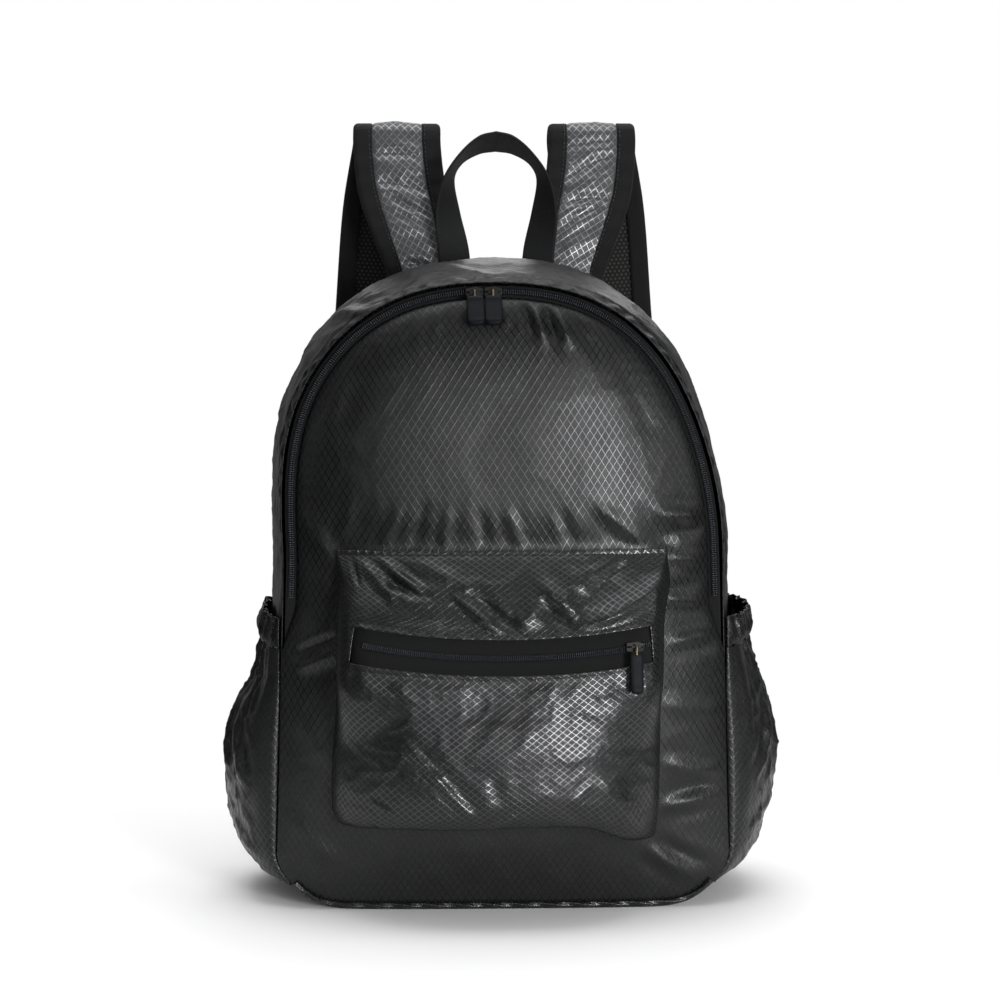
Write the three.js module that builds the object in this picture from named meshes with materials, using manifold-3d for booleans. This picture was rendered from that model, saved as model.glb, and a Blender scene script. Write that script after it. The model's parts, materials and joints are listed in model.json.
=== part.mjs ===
// A packable ripstop backpack, zipped shut, filled out and standing on its base.
// Millimetres, +Z up. X runs across the bag, its front faces -Y and the side worn on the back faces +Y.
// The origin is on the floor, in the middle of the bag's width and depth.
import * as THREE from "three";
import { mergeVertices } from "three/addons/utils/BufferGeometryUtils.js";
import Module from "manifold-3d";

const wasm = await Module();
wasm.setup();
const { lerp, smoothstep, degToRad } = THREE.MathUtils;

// Cloth, webbing and tape, and the room between neighbouring pieces
const clothWall = 1.5;
const webbingWall = 1.6;
const tapeWall = 1.0;
const seamGap = 0.4;

// The bag's body: its arched outline, its depth and how far it fills out
const baseHalfWidth = 149;
const waistHalfWidth = 143.5;
const shoulderHeight = 235;
const bodyHeight = 411;
const archPower = 2.4;
const baseCorner = 34;
const frontSeam = -62;
const backSeam = 72;
const frontBulge = 30;
const baseBow = 5;
const backBulge = 7;
const sideBulge = 7.5;
const crownBulge = 13.5;

// The arch leans to the left, from below the shoulders up to here
const archLean = 6.5;
const leanFrom = 225;
const leanTo = 345;

// The base stays flat on the floor up to here, and its corners lift beyond
const flatHalfWidth = 90;
const cornerLift = 9;
const liftReach = 90;
const rollHeight = 4.5;
const rollWall = 1.2;

// The main zip, round the arch from one side pocket to the other
const zipBand = 9.5;
const zipTapeWidth = 12;
const zipTapeInset = 2;
const zipFlap = 3;
const zipStartHeight = 165;
const zipFade = 40;
const coilWidth = 4.4;
const coilHeight = 1.6;
const coilInset = 5.6;

// The front pocket
const pocketHalfWidth = 106;
const pocketBottom = 66;
const pocketTop = 240;
const pocketDepth = 34;
const pocketCorner = 18;
const pocketZipSag = 14;
const pocketSlotShare = 0.75;
const pocketGap = 0.8;

// The side pockets, gathered by the elastic in their hems
const sidePocketFoot = 9;
const sidePocketTop = 172;
const sidePocketBulge = 33;
const hemHeight = 20;
const hemRuffle = 2.4;
const gatherCount = 6;
const gatherDepth = 1.6;

// The shoulder straps: where each is sewn on, folds over and ends, measured from the bag's middle
const strapSeamX = 48;
const strapFoldX = 68;
const strapEndX = 100;
const strapSeamHeight = bodyHeight - 35;
const strapTop = 515;
const strapEndHeight = 132;
const strapReach = 60;
const strapFold = 13;
const strapWidth = 58;
const strapFaceWidth = 36;
const strapNarrow = 0.8;
const padThickness = 4;
const faceThickness = 1.2;
const bindingThickness = 1.2;
const layerGap = 0.3;

// The haul loop
const haulWidth = 22;
const haulTop = 502;
const haulSeamHeight = bodyHeight - 29;
const haulHalfSpan = 28;
const haulLean = 5;

// The webbing and the ladder lock at the foot of each strap
const webbingWidth = 20;
const lockWidth = 28;
const lockHeight = 26;
const lockThickness = 4;
const lockBar = 3.6;
const lockDrop = 14;
const lockOut = 3;
const tailLength = 70;
const anchorX = 116;
const anchorHeight = 42;
const anchorTabHeight = 34;
const anchorTabHalf = 17;

// Sliders and their pulls
const sliderWidth = 7;
const sliderLength = 11;
const sliderThickness = 2.4;
const sliderSpacing = 12.6;
const sliderGap = 0.3;
const slidersMeetAt = -6;
const pocketSliderShare = 0.64;
const bridgeRise = 2.9;
const bridgeBar = 1.1;
const linkWire = 0.55;
const linkRadius = 1.5;
const linkLength = 4;
const gripDrop = 3.4;
const gripBevel = 0.8;
const pocketGrip = { width: 8.6, length: 27, thickness: 3.6 };
const mainGrip = { width: 11, length: 20, thickness: 4.2 };
const mainPullTilt = 38;
const pocketPullTilt = 3;

// Outline stations run anticlockwise, seen from the front, from the middle of the base
const cornerStart = 4;
const cornerMiddle = 6;
const sideStart = 8;
const archStart = 14;
const crownStation = 26;
const lastStation = 2 * crownStation;

// A curve through the rows of a table: the column's value at any value of the key
function through(rows, key, column) {
  const slope = (i) => {
    const before = rows[Math.max(i - 1, 0)];
    const after = rows[Math.min(i + 1, rows.length - 1)];
    return (after[column] - before[column]) / (after[key] - before[key]);
  };
  return (value) => {
    const above = rows.findIndex((row) => row[key] > value);
    const i = above < 0 ? rows.length - 2 : Math.max(above - 1, 0);
    const span = rows[i + 1][key] - rows[i][key];
    const t = Math.min(Math.max((value - rows[i][key]) / span, 0), 1);
    const t2 = t * t;
    const t3 = t2 * t;
    return (
      (2 * t3 - 3 * t2 + 1) * rows[i][column] +
      (t3 - 2 * t2 + t) * span * slope(i) +
      (3 * t2 - 2 * t3) * rows[i + 1][column] +
      (t3 - t2) * span * slope(i + 1)
    );
  };
}

const steps = (count, from = 0, to = 1) =>
  Array.from({ length: count + 1 }, (_, i) => lerp(from, to, i / count));

// The unit normal of surface(u, v), which faces the way that u cross v does
function normalOf(surface, u, v) {
  const h = 1e-3;
  const du = surface(Math.min(u + h, 1), v).sub(surface(Math.max(u - h, 0), v));
  const dv = surface(u, Math.min(v + h, 1)).sub(surface(u, Math.max(v - h, 0)));
  return du.cross(dv).normalize();
}

const offset = (surface, distance) => (u, v) =>
  surface(u, v).addScaledVector(normalOf(surface, u, v), distance);

function geometryFrom(points, faces) {
  const geometry = new THREE.BufferGeometry();
  geometry.setAttribute("position", new THREE.Float32BufferAttribute(points, 3));
  geometry.setIndex(faces);
  return geometry;
}

// A wall of cloth: surface(u, v) is its outer face, and the inner face lies behind it.
// isOpen(i, j) leaves out a cell of the grid, as at a zip's slot.
function wall(surface, us, vs, thickness, isOpen = () => false) {
  const points = [];
  for (const skin of [surface, offset(surface, -thickness)])
    for (const v of vs) for (const u of us) points.push(...skin(u, v).toArray());
  const columns = us.length;
  const behind = columns * vs.length;
  const faces = [];
  const edges = new Map();
  const addOuter = (a, b, c) => {
    faces.push(a, b, c, a + behind, c + behind, b + behind);
    for (const [p, q] of [[a, b], [b, c], [c, a]])
      if (!edges.delete(q + "," + p)) edges.set(p + "," + q, [p, q]);
  };
  for (let j = 0; j < vs.length - 1; j++)
    for (let i = 0; i < columns - 1; i++) {
      if (isOpen(i, j)) continue;
      const a = j * columns + i;
      addOuter(a, a + 1, a + 1 + columns);
      addOuter(a, a + 1 + columns, a + columns);
    }
  for (const [p, q] of edges.values())
    faces.push(q, p, p + behind, q, p + behind, q + behind);
  return geometryFrom(points, faces);
}

// A bar whose closed section is given clockwise as [across, out] pairs, swept along frameAt(v)
function sweep(section, frameAt, vs) {
  const points = [];
  for (const v of vs) {
    const { at, across, out, taper } = frameAt(v);
    for (const [a, o] of section)
      points.push(...at.clone().addScaledVector(across, a * taper).addScaledVector(out, o).toArray());
  }
  const n = section.length;
  const last = (vs.length - 1) * n;
  const faces = [];
  for (let j = 0; j < last; j += n)
    for (let i = 0; i < n; i++) {
      const next = (i + 1) % n;
      const a = j + i;
      const b = j + next;
      if (section[i][0] < section[next][0]) faces.push(a, b, b + n, a, b + n, a + n);
      else faces.push(a, b, a + n, b, b + n, a + n);
    }
  const flat = section.map(([a, o]) => new THREE.Vector2(a, o));
  for (const [a, b, c] of THREE.ShapeUtils.triangulateShape(flat, []))
    faces.push(a, b, c, a + last, c + last, b + last);
  return geometryFrom(points, faces);
}

// Solids that are joined or cut
function solidOf(geometry) {
  const bare = new THREE.BufferGeometry();
  bare.setAttribute("position", geometry.getAttribute("position"));
  bare.setIndex(geometry.getIndex());
  const merged = mergeVertices(bare, 1e-4);
  return new wasm.Manifold(
    new wasm.Mesh({
      numProp: 3,
      vertProperties: merged.getAttribute("position").array,
      triVerts: new Uint32Array(merged.getIndex().array),
    }),
  );
}

function geometryOf(solid) {
  const { vertProperties, triVerts } = solid.getMesh();
  return geometryFrom(vertProperties, Array.from(triVerts));
}

const leanAt = (z) => -archLean * smoothstep(z, leanFrom, leanTo);

// The outline of the body, as x and z at a station, drawn in by inset
function outlineAt(station, inset = 0) {
  const h = Math.min(station, lastStation - station);
  const base = baseHalfWidth - inset;
  const waist = waistHalfWidth - inset;
  const corner = baseCorner - inset;
  let x = 0;
  let z = 0;
  if (h <= cornerStart) {
    x = ((base - corner) * h) / cornerStart;
    z = inset;
  } else if (h <= sideStart) {
    const turn = ((h - cornerStart) / (sideStart - cornerStart)) * (Math.PI / 2);
    x = base - corner + corner * Math.sin(turn);
    z = baseCorner - corner * Math.cos(turn);
  } else if (h <= archStart) {
    const t = (h - sideStart) / (archStart - sideStart);
    x = lerp(base, waist, t);
    z = lerp(baseCorner, shoulderHeight, t);
  } else {
    const turn = ((h - archStart) / (crownStation - archStart)) * (Math.PI / 2);
    x = waist * Math.max(Math.cos(turn), 0) ** (2 / archPower);
    z = shoulderHeight + (bodyHeight - inset - shoulderHeight) * Math.sin(turn) ** (2 / archPower);
  }
  return { x: (station <= crownStation ? x : -x) + leanAt(z), z };
}

// Stations below the middle of the base count down from it
const wrapped = (station) => (station < 0 ? station + lastStation : station);

// The station on the right side at a height below the shoulder
function sideStation(z) {
  if (z < baseCorner) {
    const turn = Math.acos(1 - z / baseCorner) / (Math.PI / 2);
    return lerp(cornerStart, sideStart, turn);
  }
  return lerp(sideStart, archStart, (z - baseCorner) / (shoulderHeight - baseCorner));
}

// How much of the zip's band there is between the front panel and the side, by height
const zippedAt = (z) => smoothstep(z, zipStartHeight, zipStartHeight + zipFade);

// Half the front panel's width at a height
function panelHalfWidth(z) {
  if (z < baseCorner) {
    const fall = baseCorner - Math.max(z, 0);
    return baseHalfWidth - baseCorner + Math.sqrt(baseCorner ** 2 - fall ** 2);
  }
  const inset = zipBand * zippedAt(z);
  if (z < shoulderHeight) {
    const t = (z - baseCorner) / (shoulderHeight - baseCorner);
    return lerp(baseHalfWidth, waistHalfWidth, t) - inset;
  }
  const rise = Math.min((z - shoulderHeight) / (bodyHeight - inset - shoulderHeight), 1);
  return (waistHalfWidth - inset) * (1 - rise ** archPower) ** (1 / archPower);
}

// The base's corners lift off the floor, and the lift fades out up the walls
function settled(point) {
  const out = smoothstep(Math.abs(point.x), flatHalfWidth, baseHalfWidth) ** 2;
  const fade = Math.max(0, 1 - point.z / liftReach) ** 2;
  point.z += cornerLift * out * fade;
  return point;
}

// Main folds of the front panel. x and z are shares of its half width and height, long, wide and
// high are shares of its half width, and turn is the fold's direction in degrees from +X.
const frontFolds = [
  { x: 0.9, z: 0.61, long: 0.26, wide: 0.05, high: 0.018, turn: 4 },
  { x: 0.89, z: 0.53, long: 0.28, wide: 0.055, high: 0.021, turn: -6 },
  { x: 0.9, z: 0.44, long: 0.26, wide: 0.05, high: 0.018, turn: 8 },
  { x: 0.9, z: 0.25, long: 0.26, wide: 0.055, high: 0.021, turn: 12 },
  { x: 0.9, z: 0.15, long: 0.26, wide: 0.05, high: 0.016, turn: -14 },
  { x: -0.9, z: 0.37, long: 0.28, wide: 0.06, high: 0.02, turn: 34 },
  { x: -0.89, z: 0.2, long: 0.28, wide: 0.065, high: 0.018, turn: -28 },
  { x: -0.88, z: 0.52, long: 0.3, wide: 0.06, high: 0.015, turn: 62 },
  { x: -0.4, z: 0.65, long: 0.3, wide: 0.055, high: 0.015, turn: 112 },
  { x: -0.14, z: 0.65, long: 0.26, wide: 0.05, high: 0.014, turn: 84 },
  { x: 0.12, z: 0.65, long: 0.28, wide: 0.05, high: 0.015, turn: 98 },
  { x: 0.4, z: 0.65, long: 0.3, wide: 0.055, high: 0.017, turn: 76 },
  { x: 0.17, z: 0.92, long: 0.26, wide: 0.05, high: 0.017, turn: 96 },
  { x: 0.33, z: 0.9, long: 0.24, wide: 0.05, high: 0.014, turn: 78 },
];

// The height of a table's folds at x and z, for a panel of a half width and height above its bottom
function foldHeight(folds, x, z, halfWidth, height, bottom = 0) {
  let total = 0;
  for (const fold of folds) {
    const turn = degToRad(fold.turn);
    const dx = (x - fold.x * halfWidth) / halfWidth;
    const dz = (z - bottom - fold.z * height) / halfWidth;
    const along = (dx * Math.cos(turn) + dz * Math.sin(turn)) / (fold.long / 2);
    const off = (dz * Math.cos(turn) - dx * Math.sin(turn)) / fold.wide;
    total += fold.high * halfWidth * Math.exp(-(off ** 2) - along ** 4);
  }
  return total;
}

// How far the front stands out from its seam, with its folds: fullest a third of the way up
const bellyHeight = 0.36 * bodyHeight;
function frontFill(x, z) {
  const width = panelHalfWidth(z);
  const off = Math.abs(x - leanAt(z));
  const across = width > 0 ? (1 - Math.min(off / width, 1) ** 3.2) ** 0.8 : 0;
  const above = (z - bellyHeight) / (bodyHeight - zipBand - bellyHeight);
  const up =
    above > 0
      ? (1 - Math.min(above, 1) ** 3.4) ** 0.65
      : lerp(baseBow / frontBulge, 1, 1 - (1 - Math.max(z, 0) / bellyHeight) ** 2);
  const inside = smoothstep(across * up, 0.02, 0.5);
  return frontBulge * across * up + inside * foldHeight(frontFolds, x, z, baseHalfWidth, bodyHeight);
}

// The outer face of the front panel at x and z
const frontSkin = (x, z) => frontSeam - clothWall - seamGap - frontFill(x, z);

// The front edge of the base and the sides, which bows out with the front panel along the floor
const frontEdge = (x, z) => (z < baseCorner ? frontSeam - frontFill(x, z) : frontSeam);

// A patch that fills an outline: u runs from left to right and v from bottom to top
function filled(outline) {
  const right = (v) => outline(lerp(cornerMiddle, crownStation - cornerMiddle, v));
  const left = (v) => outline(lerp(lastStation - cornerMiddle, crownStation + cornerMiddle, v));
  const top = (u) => outline(lerp(crownStation + cornerMiddle, crownStation - cornerMiddle, u));
  const bottom = (u) => outline(wrapped(lerp(-cornerMiddle, cornerMiddle, u)));
  const mix = (key, u, v) =>
    lerp(bottom(u)[key], top(u)[key], v) +
    lerp(left(v)[key], right(v)[key], u) -
    lerp(lerp(bottom(0)[key], bottom(1)[key], u), lerp(top(0)[key], top(1)[key], u), v);
  return (u, v) => ({ x: mix("x", u, v), z: mix("z", u, v) });
}

const frontPatch = filled((station) =>
  outlineAt(station, zipBand * zippedAt(outlineAt(station).z)),
);
const backPatch = filled((station) => outlineAt(station));

function frontPanel(u, v) {
  const { x, z } = frontPatch(u, v);
  return settled(new THREE.Vector3(x, frontSkin(x, z), z));
}

// The outer face of the back panel at x and z
function backSkin(x, z) {
  const across = 1 - Math.min(Math.abs(x) / waistHalfWidth, 1) ** 2;
  const up = 1 - Math.min(Math.abs(2 * z - bodyHeight) / bodyHeight, 1) ** 3;
  return backSeam + clothWall + seamGap + backBulge * across * up;
}

function backPanel(u, v) {
  const { x, z } = backPatch(1 - u, v);
  return settled(new THREE.Vector3(x, backSkin(x, z), z));
}

// How far the side and top wall bulges out between its seams
function gussetBulge(station) {
  const h = Math.min(station, lastStation - station);
  if (h <= archStart) return sideBulge * smoothstep(h, cornerMiddle, archStart - 2);
  return lerp(sideBulge, crownBulge, smoothstep(h, archStart, crownStation));
}

// The outer face of the side and top wall: share runs from front to back
function gussetSkin(share, station) {
  const { x, z } = outlineAt(station);
  const ahead = outlineAt(station + 0.05);
  const behind = outlineAt(station - 0.05);
  const outward = new THREE.Vector3(ahead.z - behind.z, 0, behind.x - ahead.x).normalize();
  const flapFrom = zipStartHeight + zipFade;
  const front = frontEdge(x, z) - zipFlap * smoothstep(z, flapFrom, flapFrom + zipFade);
  const bulge = gussetBulge(station) * Math.sin(Math.PI * share) ** 0.8;
  const point = new THREE.Vector3(x, lerp(front, backSeam, share), z);
  return settled(point.addScaledVector(outward, bulge));
}

const gusset = (u, v) => gussetSkin(u, lerp(cornerMiddle, lastStation - cornerMiddle, v));

// Rows of the side and top wall, closer together round the arch
const archSteps = 1.5 * (lastStation - 2 * archStart);
const gussetRows = [
  ...steps(2, cornerMiddle, sideStart),
  ...steps(4, sideStart, archStart).slice(1),
  ...steps(archSteps, archStart, lastStation - archStart).slice(1),
  ...steps(4, lastStation - archStart, lastStation - sideStart).slice(1),
  ...steps(2, lastStation - sideStart, lastStation - cornerMiddle).slice(1),
].map((station) => (station - cornerMiddle) / (lastStation - 2 * cornerMiddle));

// The base, from one corner's middle to the other: u runs from the front to the back
function basePanel(u, v) {
  const reach = cornerMiddle - 0.04;
  const { x, z } = outlineAt(wrapped(lerp(-reach, reach, v)));
  return settled(new THREE.Vector3(x, lerp(frontEdge(x, z), backSeam, u), z));
}

// The rolled seam along the front edge of the base
function baseRoll(u, v) {
  const { x, z } = outlineAt(wrapped(lerp(-cornerMiddle, cornerMiddle, u)), rollHeight * v);
  const round = rollWall * Math.sin(Math.PI * v);
  return settled(new THREE.Vector3(x, frontSkin(x, z) - 2 * seamGap - rollWall - round, z));
}

// A band of the main zip in the plane of the front seam, between two insets of the outline
const zipStart = sideStation(zipStartHeight);
const coilStart = sideStation(zipStartHeight + zipFade);
const zipStrip = (outer, width, start, y) => (u, v) => {
  const station = lerp(start, lastStation - start, v);
  const { x, z } = outlineAt(station, outer + width * (1 - u));
  return new THREE.Vector3(x, y, z);
};

function zipSteps(start) {
  const whole = steps(archSteps, archStart, lastStation - archStart);
  return [start, ...whole, lastStation - start].map(
    (station) => (station - start) / (lastStation - 2 * start),
  );
}

// The side pocket from its foot to its mouth: shares of its height and of its bulge
const sidePocketRows = [
  { v: 0, up: 0, out: 0 },
  { v: 0.07, up: 0, out: 0.28 },
  { v: 0.14, up: 0.02, out: 0.46 },
  { v: 0.22, up: 0.08, out: 0.6 },
  { v: 0.34, up: 0.2, out: 0.78 },
  { v: 0.48, up: 0.4, out: 0.95 },
  { v: 0.62, up: 0.6, out: 0.92 },
  { v: 0.75, up: 0.75, out: 0.7 },
  { v: 0.86, up: 0.87, out: 0.42 },
  { v: 0.94, up: 0.94, out: 0.25 },
  { v: 1, up: 1, out: 0.12 },
];
const sidePocketUp = through(sidePocketRows, "v", "up");
const sidePocketOut = through(sidePocketRows, "v", "out");
const gatherAt = (u) => gatherDepth * (1 - Math.cos(2 * Math.PI * gatherCount * u));

// The right side pocket: u runs from the front seam to the back seam and v up its height
function sidePocket(u, v) {
  const point = gussetSkin(u, sideStation(lerp(sidePocketFoot, sidePocketTop, sidePocketUp(v))));
  const out = sidePocketOut(v);
  const round = Math.sin(Math.PI * u) ** 0.55;
  const seat = lerp(clothWall, clothWall / 3, smoothstep(out, 0.1, 0.6));
  const gather = gatherAt(u) * smoothstep(v, 0.45, 1);
  point.x += seamGap + seat + layerGap * round + sidePocketBulge * out * round + gather;
  return point;
}

// The elastic casing that gathers its mouth
function sideHem(u, v) {
  const point = gussetSkin(u, sideStation(sidePocketTop + seamGap + hemHeight * v));
  const round = Math.sin(Math.PI * u) ** 0.55;
  const ruffle = hemRuffle * (Math.sin(Math.PI * v) + 0.6 * v);
  const stand = sidePocketBulge * sidePocketOut(1) + ruffle;
  point.x += seamGap + clothWall + layerGap + stand * round + gatherAt(u);
  return point;
}

// The front pocket from its bottom seam to its top seam, as shares of its height and depth. sag is
// how much of the zip's curve a row takes, and wide its share of the half width.
const pocketRows = [
  { v: 0, up: 0, depth: 0, sag: 0, wide: 0.94 },
  { v: 0.06, up: -0.025, depth: 0.5, sag: 0, wide: 0.95 },
  { v: 0.12, up: -0.01, depth: 1, sag: 0, wide: 0.96 },
  { v: 0.2, up: 0.07, depth: 1.24, sag: 0, wide: 0.97 },
  { v: 0.34, up: 0.24, depth: 1.22, sag: 0.2, wide: 0.98 },
  { v: 0.48, up: 0.42, depth: 1.1, sag: 0.6, wide: 0.98 },
  { v: 0.6, up: 0.6, depth: 0.95, sag: 1, wide: 0.99 },
  { v: 0.72, up: 0.73, depth: 0.82, sag: 1, wide: 0.99 },
  { v: 0.83, up: 0.86, depth: 0.52, sag: 0.4, wide: 0.995 },
  { v: 0.93, up: 0.96, depth: 0.17, sag: 0, wide: 1 },
  { v: 1, up: 1, depth: 0, sag: 0, wide: 1 },
];
const pocketUp = through(pocketRows, "v", "up");
const pocketStand = through(pocketRows, "v", "depth");
const pocketSag = through(pocketRows, "v", "sag");
const pocketWide = through(pocketRows, "v", "wide");
const pocketSlot = { from: 0.6, middle: 0.66, to: 0.72 };
const pocketHeight = pocketTop - pocketBottom;
const pocketSlotHeight = pocketHeight * (pocketUp(pocketSlot.to) - pocketUp(pocketSlot.from));

// Main folds of the front pocket, in the way of the front panel's
const pocketFolds = [
  { x: -0.52, z: 0.87, long: 0.74, wide: 0.085, high: 0.034, turn: -34 },
  { x: -0.2, z: 0.84, long: 0.6, wide: 0.075, high: 0.026, turn: -42 },
  { x: 0.6, z: 0.87, long: 0.7, wide: 0.09, high: 0.036, turn: 38 },
  { x: 0.2, z: 0.86, long: 0.4, wide: 0.075, high: 0.026, turn: 66 },
  { x: -0.16, z: 0.22, long: 0.56, wide: 0.08, high: 0.028, turn: -42 },
  { x: 0.12, z: 0.16, long: 0.44, wide: 0.075, high: 0.024, turn: 36 },
  { x: 0.5, z: 0.34, long: 1.0, wide: 0.15, high: 0.03, turn: 78 },
  { x: -0.7, z: 0.15, long: 0.42, wide: 0.075, high: 0.02, turn: -30 },
];

// Across the pocket: its front, then a rounded corner and a side wall at each end
function pocketAcross(share, half, depth) {
  const corner = Math.min(pocketCorner, depth);
  const flat = half - corner;
  const arc = (corner * Math.PI) / 2;
  const run = Math.abs(share) * (flat + arc + depth - corner);
  const turn = corner > 0 ? Math.min(Math.max(run - flat, 0) / corner, Math.PI / 2) : 0;
  const x = Math.min(run, flat) + corner * Math.sin(turn);
  const out = depth - corner * (1 - Math.cos(turn)) - Math.max(run - flat - arc, 0);
  return { x: Math.sign(share) * x, out: Math.max(out, 0) };
}

function frontPocket(u, v) {
  const share = 2 * u - 1;
  const depth = pocketDepth * Math.max(pocketStand(v), 0);
  const { x, out } = pocketAcross(share, pocketHalfWidth * pocketWide(v), depth);
  const sag = pocketZipSag * pocketSag(v) * (share * share - 0.5);
  const z = pocketBottom + pocketHeight * pocketUp(v) + sag;
  const nearZip = smoothstep(v, pocketSlot.from - 0.08, pocketSlot.from);
  const pastZip = smoothstep(v, pocketSlot.to, pocketSlot.to + 0.06);
  const inside =
    smoothstep(out, 0.35 * pocketDepth, 0.9 * pocketDepth) * smoothstep(1 - Math.abs(share), 0.1, 0.4);
  const upper = smoothstep(out, 0.1 * pocketDepth, 0.5 * pocketDepth) * pastZip;
  const lower = inside * (1 - nearZip);
  const folds = foldHeight(pocketFolds, x, z, pocketHalfWidth, pocketHeight, pocketBottom);
  const seat = pocketGap + clothWall * (1 - smoothstep(depth, 0, 3));
  return new THREE.Vector3(x, frontSkin(x, z) - seat - out - Math.max(lower, upper) * folds, z);
}

// Columns of the front pocket, as shares from its middle to its edge
const pocketShares = [0, 0.14, 0.28, 0.42, 0.56, 0.66, pocketSlotShare, 0.82, 0.88, 0.94, 1];
const pocketColumns = [
  ...pocketShares.slice(1).reverse().map((share) => 0.5 - share / 2),
  ...pocketShares.map((share) => 0.5 + share / 2),
];
const pocketLines = [
  0, 0.03, 0.06, 0.09, 0.12, 0.16, 0.2, 0.27, 0.34, 0.41, 0.48, 0.54,
  pocketSlot.from, pocketSlot.middle, pocketSlot.to, 0.775, 0.83, 0.88, 0.93, 1,
];
const isPocketSlot = (i, j) =>
  Math.abs(pocketColumns[i] + pocketColumns[i + 1] - 1) < pocketSlotShare &&
  pocketLines[j] >= pocketSlot.from &&
  pocketLines[j] < pocketSlot.to;

// A strip that follows the front pocket's own surface across its zip, set in behind its cloth and
// as long as a share of its width
function pocketStrip(depthIn, share, height, thickness) {
  const half = (height / 2) * ((pocketSlot.to - pocketSlot.from) / pocketSlotHeight);
  const inner = pocketColumns.filter((u) => Math.abs(2 * u - 1) < share - 0.01);
  const lines = pocketLines.filter((v) => Math.abs(v - pocketSlot.middle) < half - 0.005);
  return wall(
    offset(frontPocket, -depthIn),
    [0.5 - share / 2, ...inner, 0.5 + share / 2],
    [pocketSlot.middle - half, ...lines, pocketSlot.middle + half],
    thickness,
  );
}
const pocketTapeSink = clothWall + seamGap + layerGap;

// The strap from its seam on the back panel up to its fold: shares of the way across, back and up
const strapRisingRows = [
  { x: 0.12, back: 0.12, up: 0.32 },
  { x: 0.45, back: 0.3, up: 0.52 },
  { x: 0.85, back: 0.66, up: 0.77 },
];

// And from its fold down to its end: shares of the way across and down, and of its reach
const strapFallingRows = [
  { x: 0.24, back: 1, down: 0.13 },
  { x: 0.42, back: 1, down: 0.33 },
  { x: 0.64, back: 0.93, down: 0.58 },
  { x: 0.84, back: 0.76, down: 0.83 },
  { x: 1, back: 0.56, down: 1 },
];
const backRim = backSeam + clothWall + seamGap;

// The middle of the strap's outer face
function strapPoints() {
  const seat = (z) => backSkin(strapSeamX, z) + 3 * seamGap + webbingWall;
  const foldTop = strapTop - strapFold;
  const foldMiddle = strapReach - strapFold;
  const points = [
    new THREE.Vector3(strapSeamX, seat(strapSeamHeight), strapSeamHeight),
    new THREE.Vector3(strapSeamX, seat(strapSeamHeight + 20) + layerGap, strapSeamHeight + 20),
  ];
  for (const { x, back, up } of strapRisingRows)
    points.push(
      new THREE.Vector3(
        lerp(strapSeamX, strapFoldX, x),
        backRim + 3 + (strapReach - 2 * strapFold - 3) * back,
        lerp(strapSeamHeight, foldTop, up),
      ),
    );
  for (const turn of steps(4, Math.PI, 0))
    points.push(
      new THREE.Vector3(
        strapFoldX,
        backRim + foldMiddle + strapFold * Math.cos(turn),
        foldTop + strapFold * Math.sin(turn),
      ),
    );
  for (const { x, back, down } of strapFallingRows)
    points.push(
      new THREE.Vector3(
        lerp(strapFoldX, strapEndX, x),
        backRim + strapReach * back,
        lerp(foldTop, strapEndHeight, down),
      ),
    );
  return points;
}
const strapPath = new THREE.CatmullRomCurve3(strapPoints(), false, "centripetal");
strapPath.arcLengthDivisions = 800;

// Across a ribbon whose path runs along: its width stays as level as it can
function levelAcross(along) {
  const across = new THREE.Vector3(1, 0, 0);
  return across.addScaledVector(along, -across.dot(along)).normalize();
}

// The strap's own frame at a share of its length: across its width, and out from its outer face
function strapFrame(share) {
  const along = strapPath.getTangentAt(share);
  const across = levelAcross(along);
  return {
    at: strapPath.getPointAt(share),
    across,
    out: across.clone().cross(along).normalize(),
    taper: lerp(strapNarrow, 1, smoothstep(share, 0.04, 0.2)),
  };
}

// Steps along the strap, closer together at its fold
const strapSteps = [
  ...steps(4, 0, 0.19),
  ...steps(6, 0.19, 0.285).slice(1),
  ...steps(5, 0.285, 1).slice(1),
];

// The layers of the strap, from its outer face in
const padTop = faceThickness + layerGap;
const padBottom = padTop + padThickness;
const strapThickness = padBottom + layerGap + bindingThickness;
const faceHalf = strapFaceWidth / 2;
const padHalf = strapWidth / 2;
const faceSection = [
  [-faceHalf, 0],
  [faceHalf, 0],
  [faceHalf, -faceThickness],
  [-faceHalf, -faceThickness],
];
const padSection = [
  [-padHalf, -padTop],
  [-faceHalf - layerGap, -padTop],
  [faceHalf + layerGap, -padTop],
  [padHalf, -padTop],
  [padHalf, -padBottom],
  [-padHalf, -padBottom],
];

// The binding tape along one edge of the strap, folded round it
function bindingSection(side) {
  const reach = padHalf + bindingThickness + layerGap;
  const inner = faceHalf + 2 * layerGap;
  const section = [
    [reach, 0],
    [inner, 0],
    [inner, -bindingThickness],
    [reach - bindingThickness, -bindingThickness],
    [reach - bindingThickness, bindingThickness - strapThickness],
    [inner, bindingThickness - strapThickness],
    [inner, -strapThickness],
    [reach, -strapThickness],
  ];
  return side > 0 ? section.reverse() : section.map(([a, o]) => [-a, o]);
}

// A flat ribbon along a curve, with its width kept level
function ribbon(points, width, count, thickness) {
  const path = new THREE.CatmullRomCurve3(points, false, "centripetal");
  path.arcLengthDivisions = 800;
  const surface = (u, v) =>
    path.getPointAt(v).addScaledVector(levelAcross(path.getTangentAt(v)), (u - 0.5) * width);
  return wall(surface, [0, 1], steps(count), thickness);
}

// The ladder lock hangs below the strap's end
const strapEnd = strapFrame(1);
const lockCentre = new THREE.Vector3(
  strapEndX + 1,
  strapEnd.at.y - strapThickness / 2 - lockOut,
  strapEndHeight - lockDrop - lockHeight / 2,
);

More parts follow.
